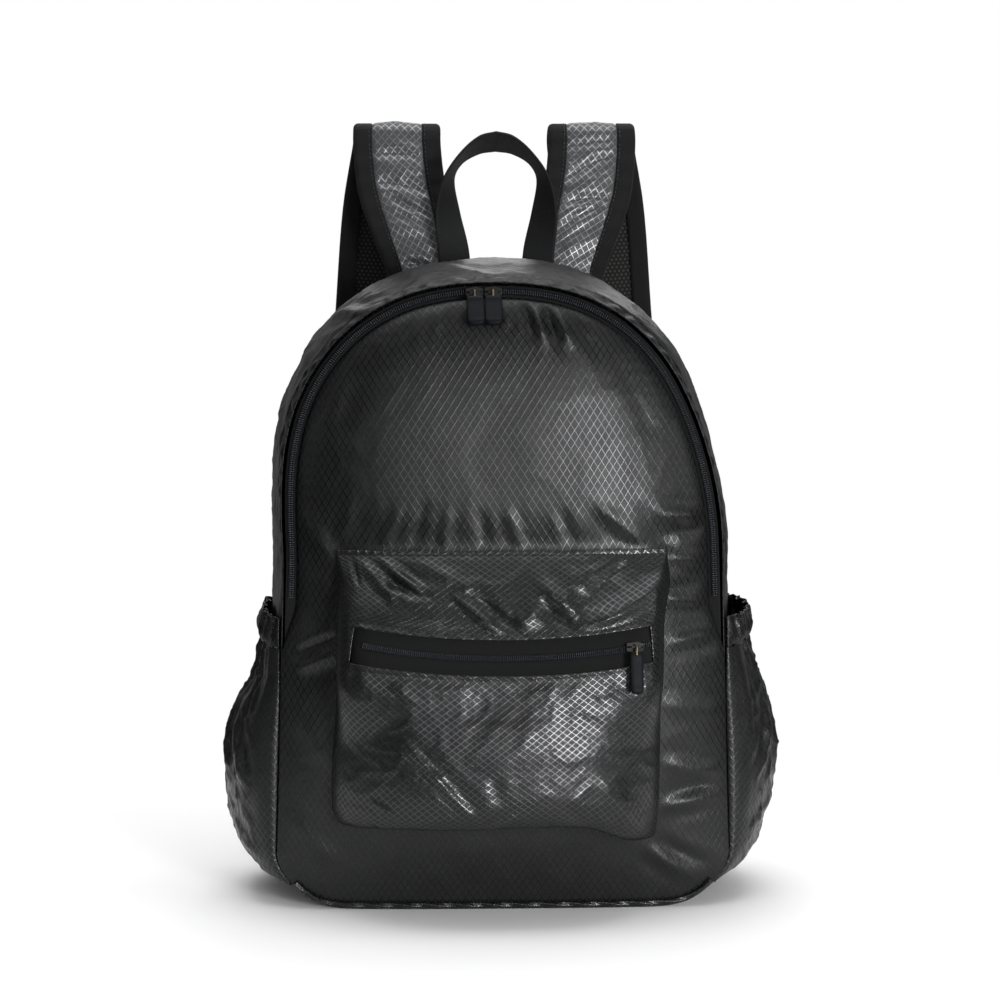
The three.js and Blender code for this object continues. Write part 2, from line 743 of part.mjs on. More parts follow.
// A frame with a middle bar, which leaves two slots
function ladderLock() {
  const w = lockWidth / 2;
  const h = lockHeight / 2;
  const r = 3;
  const frame = new THREE.Shape();
  frame.moveTo(-w + r, -h);
  frame.absarc(w - r, -h + r, r, -Math.PI / 2, 0, false);
  frame.absarc(w - r, h - r, r, 0, Math.PI / 2, false);
  frame.absarc(-w + r, h - r, r, Math.PI / 2, Math.PI, false);
  frame.absarc(-w + r, -h + r, r, Math.PI, 1.5 * Math.PI, false);
  const slotHalf = webbingWidth / 2 + 0.8;
  for (const [low, high] of [
    [-h + lockBar, -lockBar / 2],
    [lockBar / 2, h - lockBar],
  ]) {
    const slot = new THREE.Path();
    slot.moveTo(-slotHalf, low);
    slot.lineTo(-slotHalf, high);
    slot.lineTo(slotHalf, high);
    slot.lineTo(slotHalf, low);
    slot.lineTo(-slotHalf, low);
    frame.holes.push(slot);
  }
  const geometry = new THREE.ExtrudeGeometry(frame, {
    depth: lockThickness,
    bevelEnabled: false,
    curveSegments: 3,
  });
  geometry.translate(0, 0, -lockThickness / 2);
  geometry.rotateX(Math.PI / 2);
  return geometry.translate(lockCentre.x, lockCentre.y, lockCentre.z);
}

// How far the outer face of webbing runs from the middle of a bar that it goes round
const barClearance = 1;
const aroundBar = lockThickness / 2 + barClearance + webbingWall;
const overBar = lockBar / 2 + barClearance + webbingWall;
const barCorner = 0.86;

// The webbing that holds the lock: sewn over both faces of the strap's end and round the top bar
function lockLoop() {
  const { x, y, z } = lockCentre;
  const bar = z + lockHeight / 2 - lockBar / 2;
  const clear = seamGap + webbingWall;
  const onStrap = (share, depth) => {
    const { at, out } = strapFrame(share);
    return at.addScaledVector(out, depth);
  };
  return ribbon(
    [
      onStrap(0.97, clear),
      onStrap(1, clear),
      new THREE.Vector3(x, y + aroundBar, bar + 2),
      new THREE.Vector3(x, y + aroundBar * barCorner, bar - overBar * barCorner),
      new THREE.Vector3(x, y, bar - overBar),
      new THREE.Vector3(x, y - aroundBar * barCorner, bar - overBar * barCorner),
      new THREE.Vector3(x, y - aroundBar, bar + 2),
      onStrap(1, -strapThickness - clear),
      onStrap(0.97, -strapThickness - clear),
    ],
    webbingWidth,
    20,
    webbingWall,
  );
}

// The webbing from the bag's lower corner, up behind the lock, over its middle bar and down again
function lowerWebbing() {
  const { x, y, z } = lockCentre;
  const onTab = (height) => backSkin(anchorX, height) + clothWall + 2 * seamGap + layerGap;
  const halfway = lerp(anchorHeight, z, 0.55);
  return ribbon(
    [
      new THREE.Vector3(anchorX, onTab(anchorHeight - 14), anchorHeight - 14),
      new THREE.Vector3(anchorX, onTab(anchorHeight), anchorHeight),
      new THREE.Vector3(lerp(anchorX, x, 0.6), lerp(onTab(anchorHeight), y - aroundBar, 0.7), halfway),
      new THREE.Vector3(x, y - aroundBar, z - 3),
      new THREE.Vector3(x, y - aroundBar * barCorner, z + overBar * barCorner),
      new THREE.Vector3(x, y, z + overBar),
      new THREE.Vector3(x, y + aroundBar * barCorner, z + overBar * barCorner),
      new THREE.Vector3(x, y + aroundBar, z - 3),
      new THREE.Vector3(x, y + aroundBar + 1, z - lockHeight),
      new THREE.Vector3(x + 1, y + aroundBar, z - tailLength),
    ],
    webbingWidth,
    28,
    webbingWall,
  );
}

// The cloth tab that anchors the webbing on the back panel
function anchorTab(u, v) {
  const x = anchorX + (1 - 2 * u) * lerp(anchorTabHalf, 0.65 * anchorTabHalf, v);
  const z = anchorHeight + anchorTabHeight * (v - 0.65);
  return settled(new THREE.Vector3(x, backSkin(x, z) + clothWall + seamGap, z));
}

// Half of the haul loop, from its sewn end to its top. x is a share of its half span, up of its
// height, turn the webbing's twist from facing forward, and drop how far its top tips back.
const haulRows = [
  { t: 0, x: 1, up: 0, turn: 0, drop: 0 },
  { t: 0.14, x: 1, up: 0.14, turn: 0, drop: 0 },
  { t: 0.32, x: 1.04, up: 0.37, turn: 14, drop: 0 },
  { t: 0.5, x: 1.17, up: 0.6, turn: 42, drop: 0 },
  { t: 0.66, x: 1.13, up: 0.79, turn: 72, drop: 6 },
  { t: 0.78, x: 0.84, up: 0.905, turn: 88, drop: 20 },
  { t: 0.9, x: 0.4, up: 0.98, turn: 90, drop: 32 },
  { t: 1, x: 0, up: 1, turn: 90, drop: 36 },
];
const haulX = through(haulRows, "t", "x");
const haulUp = through(haulRows, "t", "up");
const haulTurn = through(haulRows, "t", "turn");
const haulDrop = through(haulRows, "t", "drop");

function haulLoop(u, v) {
  const half = 1 - Math.abs(2 * v - 1);
  const side = v < 0.5 ? -1 : 1;
  const turn = degToRad(haulTurn(half));
  const drop = degToRad(haulDrop(half));
  const across = new THREE.Vector3(
    -side * Math.cos(turn),
    Math.sin(turn) * Math.cos(drop),
    -Math.sin(turn) * Math.sin(drop),
  );
  const x = side * haulHalfSpan * haulX(half);
  const z = lerp(haulSeamHeight, haulTop, haulUp(half));
  const back = backSkin(x, z) + 2 * seamGap + haulLean * smoothstep(half, 0.3, 0.9);
  return new THREE.Vector3(x, back, z).addScaledVector(across, (u - 0.5) * haulWidth);
}

// A slider in its own frame: its zip runs along X, and it stands out along -Y
function slider() {
  const l = sliderLength / 2;
  const w = sliderWidth / 2;
  const outline = new THREE.Shape();
  outline.moveTo(-l, -w * 0.72);
  outline.lineTo(l * 0.2, -w);
  outline.lineTo(l, -w * 0.62);
  outline.lineTo(l, w * 0.62);
  outline.lineTo(l * 0.2, w);
  outline.lineTo(-l, w * 0.72);
  const plate = new THREE.ExtrudeGeometry(outline, { depth: sliderThickness, bevelEnabled: false });
  plate.rotateX(Math.PI / 2);

  const rise = sliderThickness + bridgeRise;
  const foot = sliderThickness / 2;
  const arch = new THREE.Shape();
  arch.moveTo(-l + 0.6, foot);
  arch.lineTo(-l + 2, foot);
  arch.lineTo(-l + 2, sliderThickness + 0.5 * bridgeRise);
  arch.lineTo(-l + 3, rise - bridgeBar / 2);
  arch.lineTo(l - 3, rise - bridgeBar / 2);
  arch.lineTo(l - 2, sliderThickness + 0.5 * bridgeRise);
  arch.lineTo(l - 2, foot);
  arch.lineTo(l - 0.6, foot);
  arch.lineTo(l - 0.6, sliderThickness + 0.6 * bridgeRise);
  arch.lineTo(l - 2.4, rise + bridgeBar / 2);
  arch.lineTo(-l + 2.4, rise + bridgeBar / 2);
  arch.lineTo(-l + 0.6, sliderThickness + 0.6 * bridgeRise);
  const bridge = new THREE.ExtrudeGeometry(arch, { depth: bridgeBar, bevelEnabled: false });
  bridge.translate(0, 0, -bridgeBar / 2);
  bridge.rotateX(Math.PI);
  return geometryOf(solidOf(plate).add(solidOf(bridge)));
}

// The wire link that goes round the slider's bar, which runs along X through the origin
function pullLink(wire) {
  const ring = new THREE.TorusGeometry(linkRadius, wire, 6, 12);
  ring.rotateY(Math.PI / 2);
  const position = ring.getAttribute("position");
  for (let i = 0; i < position.count; i++)
    if (position.getZ(i) < -0.01) position.setZ(i, position.getZ(i) - linkLength);
  return ring.translate(0, 0, -0.2);
}

// The moulded grip, held by the link through its top
function pullGrip({ width, length, thickness }) {
  const w = width / 2 - gripBevel;
  const r = w * 0.7;
  const top = -gripDrop - gripBevel;
  const bottom = -gripDrop - length + gripBevel;
  const shape = new THREE.Shape();
  shape.moveTo(-w, top);
  shape.lineTo(-w, bottom + r);
  shape.absarc(-w + r, bottom + r, r, Math.PI, 1.5 * Math.PI, false);
  shape.absarc(w - r, bottom + r, r, -Math.PI / 2, 0, false);
  shape.lineTo(w, top);
  const body = new THREE.ExtrudeGeometry(shape, {
    depth: thickness - 2 * gripBevel,
    bevelThickness: gripBevel,
    bevelSize: gripBevel,
    bevelSegments: 1,
    curveSegments: 4,
  });
  body.translate(0, 0, gripBevel - thickness / 2);
  body.rotateX(Math.PI / 2);
  return geometryOf(solidOf(body).subtract(solidOf(pullLink(linkWire + layerGap))));
}

const finishes = {
  ripstop: new THREE.MeshStandardMaterial({ color: 0x2c2c2e, roughness: 0.5 }),
  strapRipstop: new THREE.MeshStandardMaterial({ color: 0x5a5a5c, roughness: 0.5 }),
  mesh: new THREE.MeshStandardMaterial({ color: 0x1c1c1d, roughness: 0.9 }),
  webbing: new THREE.MeshStandardMaterial({ color: 0x0e0e0f, roughness: 0.75 }),
  zipTape: new THREE.MeshStandardMaterial({ color: 0x0b0b0c, roughness: 0.8 }),
  coil: new THREE.MeshStandardMaterial({ color: 0x101114, roughness: 0.4 }),
  metal: new THREE.MeshStandardMaterial({ color: 0x1a1917, roughness: 0.35, metalness: 0.8 }),
  rubber: new THREE.MeshStandardMaterial({ color: 0x15161a, roughness: 0.45 }),
  plastic: new THREE.MeshStandardMaterial({ color: 0x121213, roughness: 0.4 }),
};

const backpack = new THREE.Group();

function add(name, geometry, finish, parent = backpack) {
  const mesh = new THREE.Mesh(geometry, finish);
  mesh.name = name;
  parent.add(mesh);
  return mesh;
}

// Left and right are as seen from the front. The left one of a pair is the right one's mirror image.
function addPair(name, geometry, finish) {
  add(name + "_right", geometry, finish);
  add(name + "_left", geometry, finish).scale.x = -1;
}

// A slider with its pull: at is on the coil, along runs along the zip and out stands out from it
function addSlider(prefix, suffix, at, along, out, grip, tilt) {
  const seat = new THREE.Group();
  const back = out.clone().negate();
  const up = new THREE.Vector3().crossVectors(along, back);
  seat.applyMatrix4(new THREE.Matrix4().makeBasis(along, back, up).setPosition(at));
  add(prefix + "_slider" + suffix, slider(), finishes.metal, seat);
  const pull = new THREE.Group();
  pull.position.y = -sliderThickness - bridgeRise;
  pull.rotation.x = -degToRad(tilt);
  add(prefix + "_pull_link" + suffix, pullLink(linkWire), finishes.metal, pull);
  add(prefix + "_pull_grip" + suffix, pullGrip(grip), finishes.rubber, pull);
  seat.add(pull);
  backpack.add(seat);
}

// The body
add("front_panel", wall(frontPanel, steps(16), steps(20), clothWall), finishes.ripstop);
add("side_and_top", wall(gusset, steps(5), gussetRows, clothWall), finishes.ripstop);
add("base_panel", wall(basePanel, steps(3), steps(12), clothWall), finishes.ripstop);
add("base_roll", wall(baseRoll, steps(16), steps(2), rollWall), finishes.ripstop);
add("back_panel", wall(backPanel, steps(10), steps(12), clothWall), finishes.ripstop);

// The main zip
const coilFace = frontSeam - layerGap - coilHeight;
const mainTape = zipStrip(zipTapeInset, zipTapeWidth, zipStart, frontSeam);
const mainCoil = zipStrip(coilInset - coilWidth / 2, coilWidth, coilStart, coilFace);
add("main_zip_tape", wall(mainTape, [0, 1], zipSteps(zipStart), tapeWall), finishes.zipTape);
add("main_zip_coil", wall(mainCoil, [0, 1], zipSteps(coilStart), coilHeight), finishes.coil);

for (const [suffix, side] of [["_left", -1], ["_right", 1]]) {
  const x = slidersMeetAt + (side * sliderSpacing) / 2;
  const turn = Math.acos((Math.abs(x) / (waistHalfWidth - coilInset)) ** (archPower / 2));
  const station = lerp(archStart, crownStation, turn / (Math.PI / 2));
  const point = (shift) => {
    const place = outlineAt(lastStation - station + shift, coilInset);
    return new THREE.Vector3(place.x, coilFace - sliderGap, place.z);
  };
  const along = point(-0.2).sub(point(0.2)).normalize();
  addSlider("main", suffix, point(0), along, new THREE.Vector3(0, -1, 0), mainGrip, mainPullTilt);
}

// The front pocket and its zip
const pocketTape = pocketStrip(pocketTapeSink, 0.81, pocketSlotHeight + zipTapeWidth, tapeWall);
const pocketCoilSink = pocketTapeSink - layerGap - coilHeight;
const pocketCoil = pocketStrip(pocketCoilSink, pocketSlotShare - 0.02, coilWidth, coilHeight);
const pocketWall = wall(frontPocket, pocketColumns, pocketLines, clothWall, isPocketSlot);
add("front_pocket", pocketWall, finishes.ripstop);
add("pocket_zip_tape", pocketTape, finishes.zipTape);
add("pocket_zip_coil", pocketCoil, finishes.coil);

const pocketSliderAt = { u: 0.5 + pocketSliderShare / 2, v: pocketSlot.middle };
const pocketOut = normalOf(frontPocket, pocketSliderAt.u, pocketSliderAt.v);
const pocketAlong = levelAcross(new THREE.Vector3(0, 0, 1));
pocketAlong.addScaledVector(pocketOut, -pocketAlong.dot(pocketOut)).normalize();
addSlider(
  "pocket",
  "",
  frontPocket(pocketSliderAt.u, pocketSliderAt.v),
  pocketAlong,
  pocketOut,
  pocketGrip,
  pocketPullTilt,
);

// The side pockets
const hemColumns = steps(4 * gatherCount);
addPair("side_pocket", wall(sidePocket, steps(12), steps(13), clothWall), finishes.ripstop);
addPair("side_pocket_hem", wall(sideHem, hemColumns, steps(2), clothWall), finishes.ripstop);

// The straps, their ladder locks and the haul loop
addPair("strap_face", sweep(faceSection, strapFrame, strapSteps), finishes.strapRipstop);
addPair("strap_pad", sweep(padSection, strapFrame, strapSteps), finishes.mesh);
addPair("strap_binding_outer", sweep(bindingSection(1), strapFrame, strapSteps), finishes.webbing);
addPair("strap_binding_inner", sweep(bindingSection(-1), strapFrame, strapSteps), finishes.webbing);
addPair("lock_loop", lockLoop(), finishes.webbing);
addPair("ladder_lock", ladderLock(), finishes.plastic);
addPair("strap_webbing", lowerWebbing(), finishes.webbing);
addPair("anchor_tab", wall(anchorTab, steps(2), steps(2), clothWall), finishes.ripstop);
add("haul_loop", wall(haulLoop, [0, 1], steps(32), webbingWall), finishes.webbing);

export default backpack;
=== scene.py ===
# Looks of the packable ripstop backpack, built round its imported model
import json
import math

import bpy
import numpy as np
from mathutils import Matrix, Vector


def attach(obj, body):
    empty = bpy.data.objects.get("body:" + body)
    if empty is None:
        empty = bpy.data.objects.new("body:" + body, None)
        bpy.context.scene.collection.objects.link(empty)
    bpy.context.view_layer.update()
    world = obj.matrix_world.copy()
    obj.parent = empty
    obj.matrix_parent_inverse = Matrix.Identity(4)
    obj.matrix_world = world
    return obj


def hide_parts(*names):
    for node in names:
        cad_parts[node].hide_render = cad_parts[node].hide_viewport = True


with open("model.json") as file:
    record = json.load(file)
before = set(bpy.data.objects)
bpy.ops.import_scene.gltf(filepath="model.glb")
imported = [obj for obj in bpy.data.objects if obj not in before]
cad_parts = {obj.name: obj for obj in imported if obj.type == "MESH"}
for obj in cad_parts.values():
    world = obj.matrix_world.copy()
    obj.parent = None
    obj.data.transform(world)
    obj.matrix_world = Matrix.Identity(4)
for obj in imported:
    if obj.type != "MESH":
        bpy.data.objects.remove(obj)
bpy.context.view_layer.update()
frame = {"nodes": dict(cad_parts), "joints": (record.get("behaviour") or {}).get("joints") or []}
nodes = frame["nodes"]
print("frame loaded:", len(nodes), "nodes")

# The maker's sizes are in millimetres, and the scene is in metres
metres = 0.001

# Camera: where the photograph was taken from
camera = {
    "distance": 2.2,
    "azimuth": -2.0,
    "elevation": 6.0,
    "target": (0.0, 0.0, 0.263),
    "lens": 117.97,
}


def placeCamera():
    data = bpy.data.cameras.new("camera")
    data.lens = camera["lens"]
    data.sensor_width = 36
    data.clip_end = 50
    cameraObject = bpy.data.objects.new("camera", data)
    bpy.context.scene.collection.objects.link(cameraObject)
    turn = math.radians(camera["azimuth"])
    rise = math.radians(camera["elevation"])
    back = Vector((math.sin(turn) * math.cos(rise), -math.cos(turn) * math.cos(rise), math.sin(rise)))
    cameraObject.location = Vector(camera["target"]) + back * camera["distance"]
    cameraObject.rotation_euler = back.to_track_quat("Z", "Y").to_euler()
    bpy.context.scene.camera = cameraObject


placeCamera()

# Shader nodes
def mathNode(tree, operation, a, b=None, c=None):
    node = tree.nodes.new("ShaderNodeMath")
    node.operation = operation
    for socket, value in zip(node.inputs, (a, b, c)):
        if value is None:
            continue
        if isinstance(value, (int, float)):
            socket.default_value = value
        else:
            tree.links.new(value, socket)
    return node.outputs[0]


def mapRange(tree, value, fromMin, fromMax, toMin=0.0, toMax=1.0):
    node = tree.nodes.new("ShaderNodeMapRange")
    node.interpolation_type = "SMOOTHSTEP"
    for socket, number in zip(("From Min", "From Max", "To Min", "To Max"), (fromMin, fromMax, toMin, toMax)):
        node.inputs[socket].default_value = number
    tree.links.new(value, node.inputs["Value"])
    return node.outputs["Result"]


# Studio: a round pale floor, a room that is dim towards the camera, and soft boxes
studio = {
    "floorRadius": 0.5,
    "floorColor": (0.97, 0.97, 0.97, 1),
    "roomColor": (1, 1, 1, 1),
    "seenBrightness": 1.0,
    "dimBrightness": 0.014,
    "topBrightness": 1.0,
    "backBrightness": 0.25,
    "boxes": [
        {"name": "top_box", "at": (0.0, 0.25, 2.1), "size": (1.8, 1.5), "watts": 25, "aim": (0, 0, 0.3)},
        {"name": "front_box", "at": (0.0, -2.9, 0.6), "size": (2.4, 0.46), "watts": 18, "aim": (0, 0, 0.3)},
        {"name": "right_box", "at": (1.05, -2.3, 0.42), "size": (0.62, 0.8), "watts": 60, "aim": (0, 0, 0.2)},
        {"name": "far_right_box", "at": (2.1, -0.9, 0.8), "size": (0.4, 1.4), "watts": 9, "aim": (0, 0, 0.2)},
        {"name": "left_box", "at": (-2.2, -0.8, 0.8), "size": (0.4, 1.4), "watts": 2.5, "aim": (0, 0, 0.25)},
        {"name": "back_box", "at": (0.2, 2.2, 1.4), "size": (1.6, 1.0), "watts": 12, "aim": (0, 0, 0.3)},
    ],
}


# How bright the room is along one axis of the direction that is looked in
def roomShade(tree, value, low, high, brightness, below):
    return mathNode(tree, "ADD", mapRange(tree, value, low, high, 0, brightness), below)


def buildStudio():
    corners = [2 * math.pi * i / 96 for i in range(96)]
    ring = [(studio["floorRadius"] * math.cos(turn), studio["floorRadius"] * math.sin(turn), 0) for turn in corners]
    mesh = bpy.data.meshes.new("floor")
    mesh.from_pydata(ring, [], [tuple(range(96))])
    floor = bpy.data.objects.new("floor", mesh)
    bpy.context.scene.collection.objects.link(floor)
    material = bpy.data.materials.new("floor_paper")
    material.use_nodes = True
    shader = material.node_tree.nodes["Principled BSDF"]
    shader.inputs["Base Color"].default_value = studio["floorColor"]
    shader.inputs["Roughness"].default_value = 0.9
    shader.inputs["Specular IOR Level"].default_value = 0.1
    mesh.materials.append(material)

    world = bpy.data.worlds.new("room")
    bpy.context.scene.world = world
    world.use_nodes = True
    tree = world.node_tree
    tree.nodes.clear()
    output = tree.nodes.new("ShaderNodeOutputWorld")
    mix = tree.nodes.new("ShaderNodeMixShader")
    path = tree.nodes.new("ShaderNodeLightPath")
    seen = tree.nodes.new("ShaderNodeBackground")
    seen.inputs["Color"].default_value = studio["roomColor"]
    seen.inputs["Strength"].default_value = studio["seenBrightness"]
    lit = tree.nodes.new("ShaderNodeBackground")
    lit.inputs["Color"].default_value = studio["roomColor"]
    coords = tree.nodes.new("ShaderNodeTexCoord")
    split = tree.nodes.new("ShaderNodeSeparateXYZ")
    tree.links.new(coords.outputs["Generated"], split.inputs[0])
    back = roomShade(tree, split.outputs["Y"], 0.2, 0.9, studio["backBrightness"], studio["dimBrightness"])
    room = roomShade(tree, split.outputs["Z"], 0.55, 1.0, studio["topBrightness"], back)
    tree.links.new(room, lit.inputs["Strength"])
    tree.links.new(path.outputs["Is Camera Ray"], mix.inputs[0])
    tree.links.new(lit.outputs[0], mix.inputs[1])
    tree.links.new(seen.outputs[0], mix.inputs[2])
    tree.links.new(mix.outputs[0], output.inputs[0])
    bpy.context.scene.view_settings.view_transform = "Standard"

    for box in studio["boxes"]:
        light = bpy.data.lights.new(box["name"], "AREA")
        light.shape = "RECTANGLE"
        light.size, light.size_y = box["size"]
        light.energy = box["watts"]
        lamp = bpy.data.objects.new(box["name"], light)
        lamp.location = box["at"]
        aim = Vector(box["at"]) - Vector(box["aim"])
        lamp.rotation_euler = aim.to_track_quat("Z", "Y").to_euler()
        bpy.context.scene.collection.objects.link(lamp)


buildStudio()
print("studio and camera ready")


# Small tools: curves, noise and grids

def lerp(a, b, t):
    return a + (b - a) * t


def smooth(x, low, high):
    t = np.clip((x - low) / (high - low), 0, 1)
    return t * t * (3 - 2 * t)


def through(rows, key, column):
    keys = np.array([row[key] for row in rows], float)
    values = np.array([row[column] for row in rows], float)
    before = np.maximum(np.arange(len(keys)) - 1, 0)
    after = np.minimum(np.arange(len(keys)) + 1, len(keys) - 1)
    slopes = (values[after] - values[before]) / (keys[after] - keys[before])

    def curve(x):
        x = np.asarray(x, float)
        i = np.clip(np.searchsorted(keys, x, side="right") - 1, 0, len(keys) - 2)
        span = keys[i + 1] - keys[i]
        t = np.clip((x - keys[i]) / span, 0, 1)
        return (
            (2 * t**3 - 3 * t**2 + 1) * values[i]
            + (t**3 - 2 * t**2 + t) * span * slopes[i]
            + (3 * t**2 - 2 * t**3) * values[i + 1]
            + (t**3 - t**2) * span * slopes[i + 1]
        )

    return curve


def runOf(line):
    return np.concatenate([[0], np.cumsum(np.linalg.norm(np.diff(line, axis=0), axis=1))])


def summed(steps):
    return np.concatenate([np.zeros((len(steps), 1)), np.cumsum(steps, axis=1)], axis=1)


def readAlong(places, run, values):
    return np.stack([np.interp(places, run, values[:, k]) for k in range(3)], axis=-1)


def vector(x, y, z):
    return np.stack(np.broadcast_arrays(x, y, z), axis=-1).astype(float)


def unit(v):
    return v / np.maximum(np.linalg.norm(v, axis=-1, keepdims=True), 1e-12)


def softNoise(x, y, seed):
    turns = np.random.default_rng(seed).random((64, 64)) * 2 * np.pi  # seeded, so each run is the same
    xi = np.floor(x).astype(int)
    yi = np.floor(y).astype(int)
    fx = x - xi
    fy = y - yi

    def corner(dx, dy):
        turn = turns[(yi + dy) % 64, (xi + dx) % 64]
        return np.cos(turn) * (fx - dx) + np.sin(turn) * (fy - dy)

    sx = fx**3 * (fx * (fx * 6 - 15) + 10)
    sy = fy**3 * (fy * (fy * 6 - 15) + 10)
    low = lerp(corner(0, 0), corner(1, 0), sx)
    return lerp(low, lerp(corner(0, 1), corner(1, 1), sx), sy)


# Sharp little ridges, as thin coated cloth crumples
def crumple(s, t, size, seed):
    bentS = s + 0.5 * size * softNoise(s / size + 7.3, t / size, seed + 1)
    bentT = t + 0.5 * size * softNoise(s / size, t / size + 3.1, seed + 2)
    ridge = 1 - np.abs(softNoise(bentS / size, bentT / size, seed)) * 3.0
    return np.clip(ridge, 0, 1) ** 2


# Drawn folds: each runs along its turn (degrees from +X), with a crest of its own width
def foldsAt(rows, x, z):
    total = np.zeros(np.broadcast(x, z).shape)
    for row in rows:
        turn = math.radians(row["turn"])
        dx = x - row["x"]
        dz = z - row["z"]
        along = (dx * math.cos(turn) + dz * math.sin(turn)) / (row["long"] / 2)
        bend = row.get("bend", 0) * along**2
        off = (dz * math.cos(turn) - dx * math.sin(turn) - bend) / row["wide"]
        crest = np.exp(-np.abs(off) ** 1.6) - 0.35 * np.exp(-((np.abs(off) - 2.1) ** 2))
        total += row["high"] * crest * np.exp(-along**4)
    return total


def grid(columns, rows, us=(0, 1), vs=(0, 1)):
    return np.meshgrid(np.linspace(*us, columns + 1), np.linspace(*vs, rows + 1))


def normalsOf(points):
    return unit(np.cross(np.gradient(points, axis=1), np.gradient(points, axis=0)))


def pushed(points, amount):
    return points + normalsOf(points) * np.asarray(amount)[..., None]


# Lengths along the cloth from the middle of each row and column, for the weave
def lengthsOn(points):
    middleColumn = points.shape[1] // 2
    s = summed(np.linalg.norm(np.diff(points, axis=1), axis=-1))
    s = s - s[:, middleColumn : middleColumn + 1]
    t = runOf(points[:, middleColumn])[:, None] + np.zeros_like(s)
    return s, t


def meshObject(name, points, faces, uvs, material):
    mesh = bpy.data.meshes.new(name)
    mesh.from_pydata((np.asarray(points) * metres).tolist(), [], [list(map(int, f)) for f in faces])
    if uvs is not None:
        layer = mesh.uv_layers.new(name="cloth")
        loops = np.zeros(len(mesh.loops), int)
        mesh.loops.foreach_get("vertex_index", loops)
        layer.data.foreach_set("uv", (np.asarray(uvs)[loops] * metres).ravel())
    mesh.polygons.foreach_set("use_smooth", np.ones(len(mesh.polygons), bool))
    mesh.materials.append(material)
    mesh.update()
    made = bpy.data.objects.new(name, mesh)
    bpy.context.scene.collection.objects.link(made)
    return made


# A sheet of cloth from a grid of points on its outer face
def sheet(name, points, lengths, material, thickness=0.8, opening=None):
    rows, columns = points.shape[:2]
    index = np.arange(rows * columns).reshape(rows, columns)
    quads = np.stack([index[:-1, :-1], index[:-1, 1:], index[1:, 1:], index[1:, :-1]], axis=-1)
    if opening is not None:
        quads = quads[~opening]
    quads = quads.reshape(-1, 4)
    used = np.unique(quads)
    place = np.zeros(rows * columns, int)
    place[used] = np.arange(len(used))
    uvs = np.stack([np.broadcast_to(part, (rows, columns)).ravel() for part in lengths], axis=-1)
    made = meshObject(name, points.reshape(-1, 3)[used], place[quads], uvs[used], material)
    if thickness:
        solid = made.modifiers.new("thickness", "SOLIDIFY")
        solid.thickness = thickness * metres
        solid.offset = -1
    return made


def finishPiece(piece, slot, *replaced, body="bag"):
    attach(piece, body)
    if replaced:
        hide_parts(*replaced)


# Materials

def newMaterial(name, roughness, specular, sheen=0.0):
    material = bpy.data.materials.new(name)
    material.use_nodes = True
    tree = material.node_tree
    shader = tree.nodes["Principled BSDF"]
    shader.inputs["Roughness"].default_value = roughness
    shader.inputs["Specular IOR Level"].default_value = specular
    shader.inputs["Sheen Weight"].default_value = sheen
    return material, tree, shader


def mixColor(tree, factor, a, b):
    node = tree.nodes.new("ShaderNodeMix")
    node.data_type = "RGBA"
    tree.links.new(factor, node.inputs["Factor"])
    for socket, color in ((node.inputs["A"], a), (node.inputs["B"], b)):
        if isinstance(color, tuple):
            socket.default_value = (*color, 1)
        else:
            tree.links.new(color, socket)
    return node.outputs["Result"]


def noise(tree, coords, scale, detail, roughness=0.5):
    node = tree.nodes.new("ShaderNodeTexNoise")
    node.inputs["Scale"].default_value = scale
    node.inputs["Detail"].default_value = detail
    node.inputs["Roughness"].default_value = roughness
    tree.links.new(coords, node.inputs["Vector"])
    return node.outputs["Fac"]


def bump(tree, shader, height, strength, distance):
    node = tree.nodes.new("ShaderNodeBump")
    node.inputs["Strength"].default_value = strength
    node.inputs["Distance"].default_value = distance
    tree.links.new(height, node.inputs["Height"])
    tree.links.new(node.outputs["Normal"], shader.inputs["Normal"])


# Where a cloth's weave lies: its own lengths in metres
def clothCoords(tree):
    node = tree.nodes.new("ShaderNodeUVMap")
    node.uv_map = "cloth"
    split = tree.nodes.new("ShaderNodeSeparateXYZ")
    tree.links.new(node.outputs["UV"], split.inputs[0])
    return node.outputs["UV"], split.outputs["X"], split.outputs["Y"]


# The grid of thicker yarns: 1 on a yarn. Diamonds are wide and high in millimetres.
def diamondYarns(tree, s, t, wide, high, yarn):
    across = mathNode(tree, "DIVIDE", s, wide * metres)
    up = mathNode(tree, "DIVIDE", t, high * metres)
    yarns = []
    slant = math.hypot(1 / wide, 1 / high)
    for operation in ("ADD", "SUBTRACT"):
        place = mathNode(tree, "FRACT", mathNode(tree, operation, across, up))
        off = mathNode(tree, "ABSOLUTE", mathNode(tree, "SUBTRACT", place, 0.5))
        edge = 0.5 - yarn * slant / 2
        yarns.append(mapRange(tree, off, edge - 0.02, edge + 0.04))
    return mathNode(tree, "MAXIMUM", *yarns)


ripstopFinish = {
    "color": (0.0075, 0.0077, 0.0080),
    "yarnColor": (0.036, 0.0366, 0.0375),
    "yarnMetal": 1.0,
    "roughness": 0.4,
    "yarnRoughness": 0.16,
    "yarn": 0.66,
    "weave": 0.42,
    "crinkle": 0.13,
}


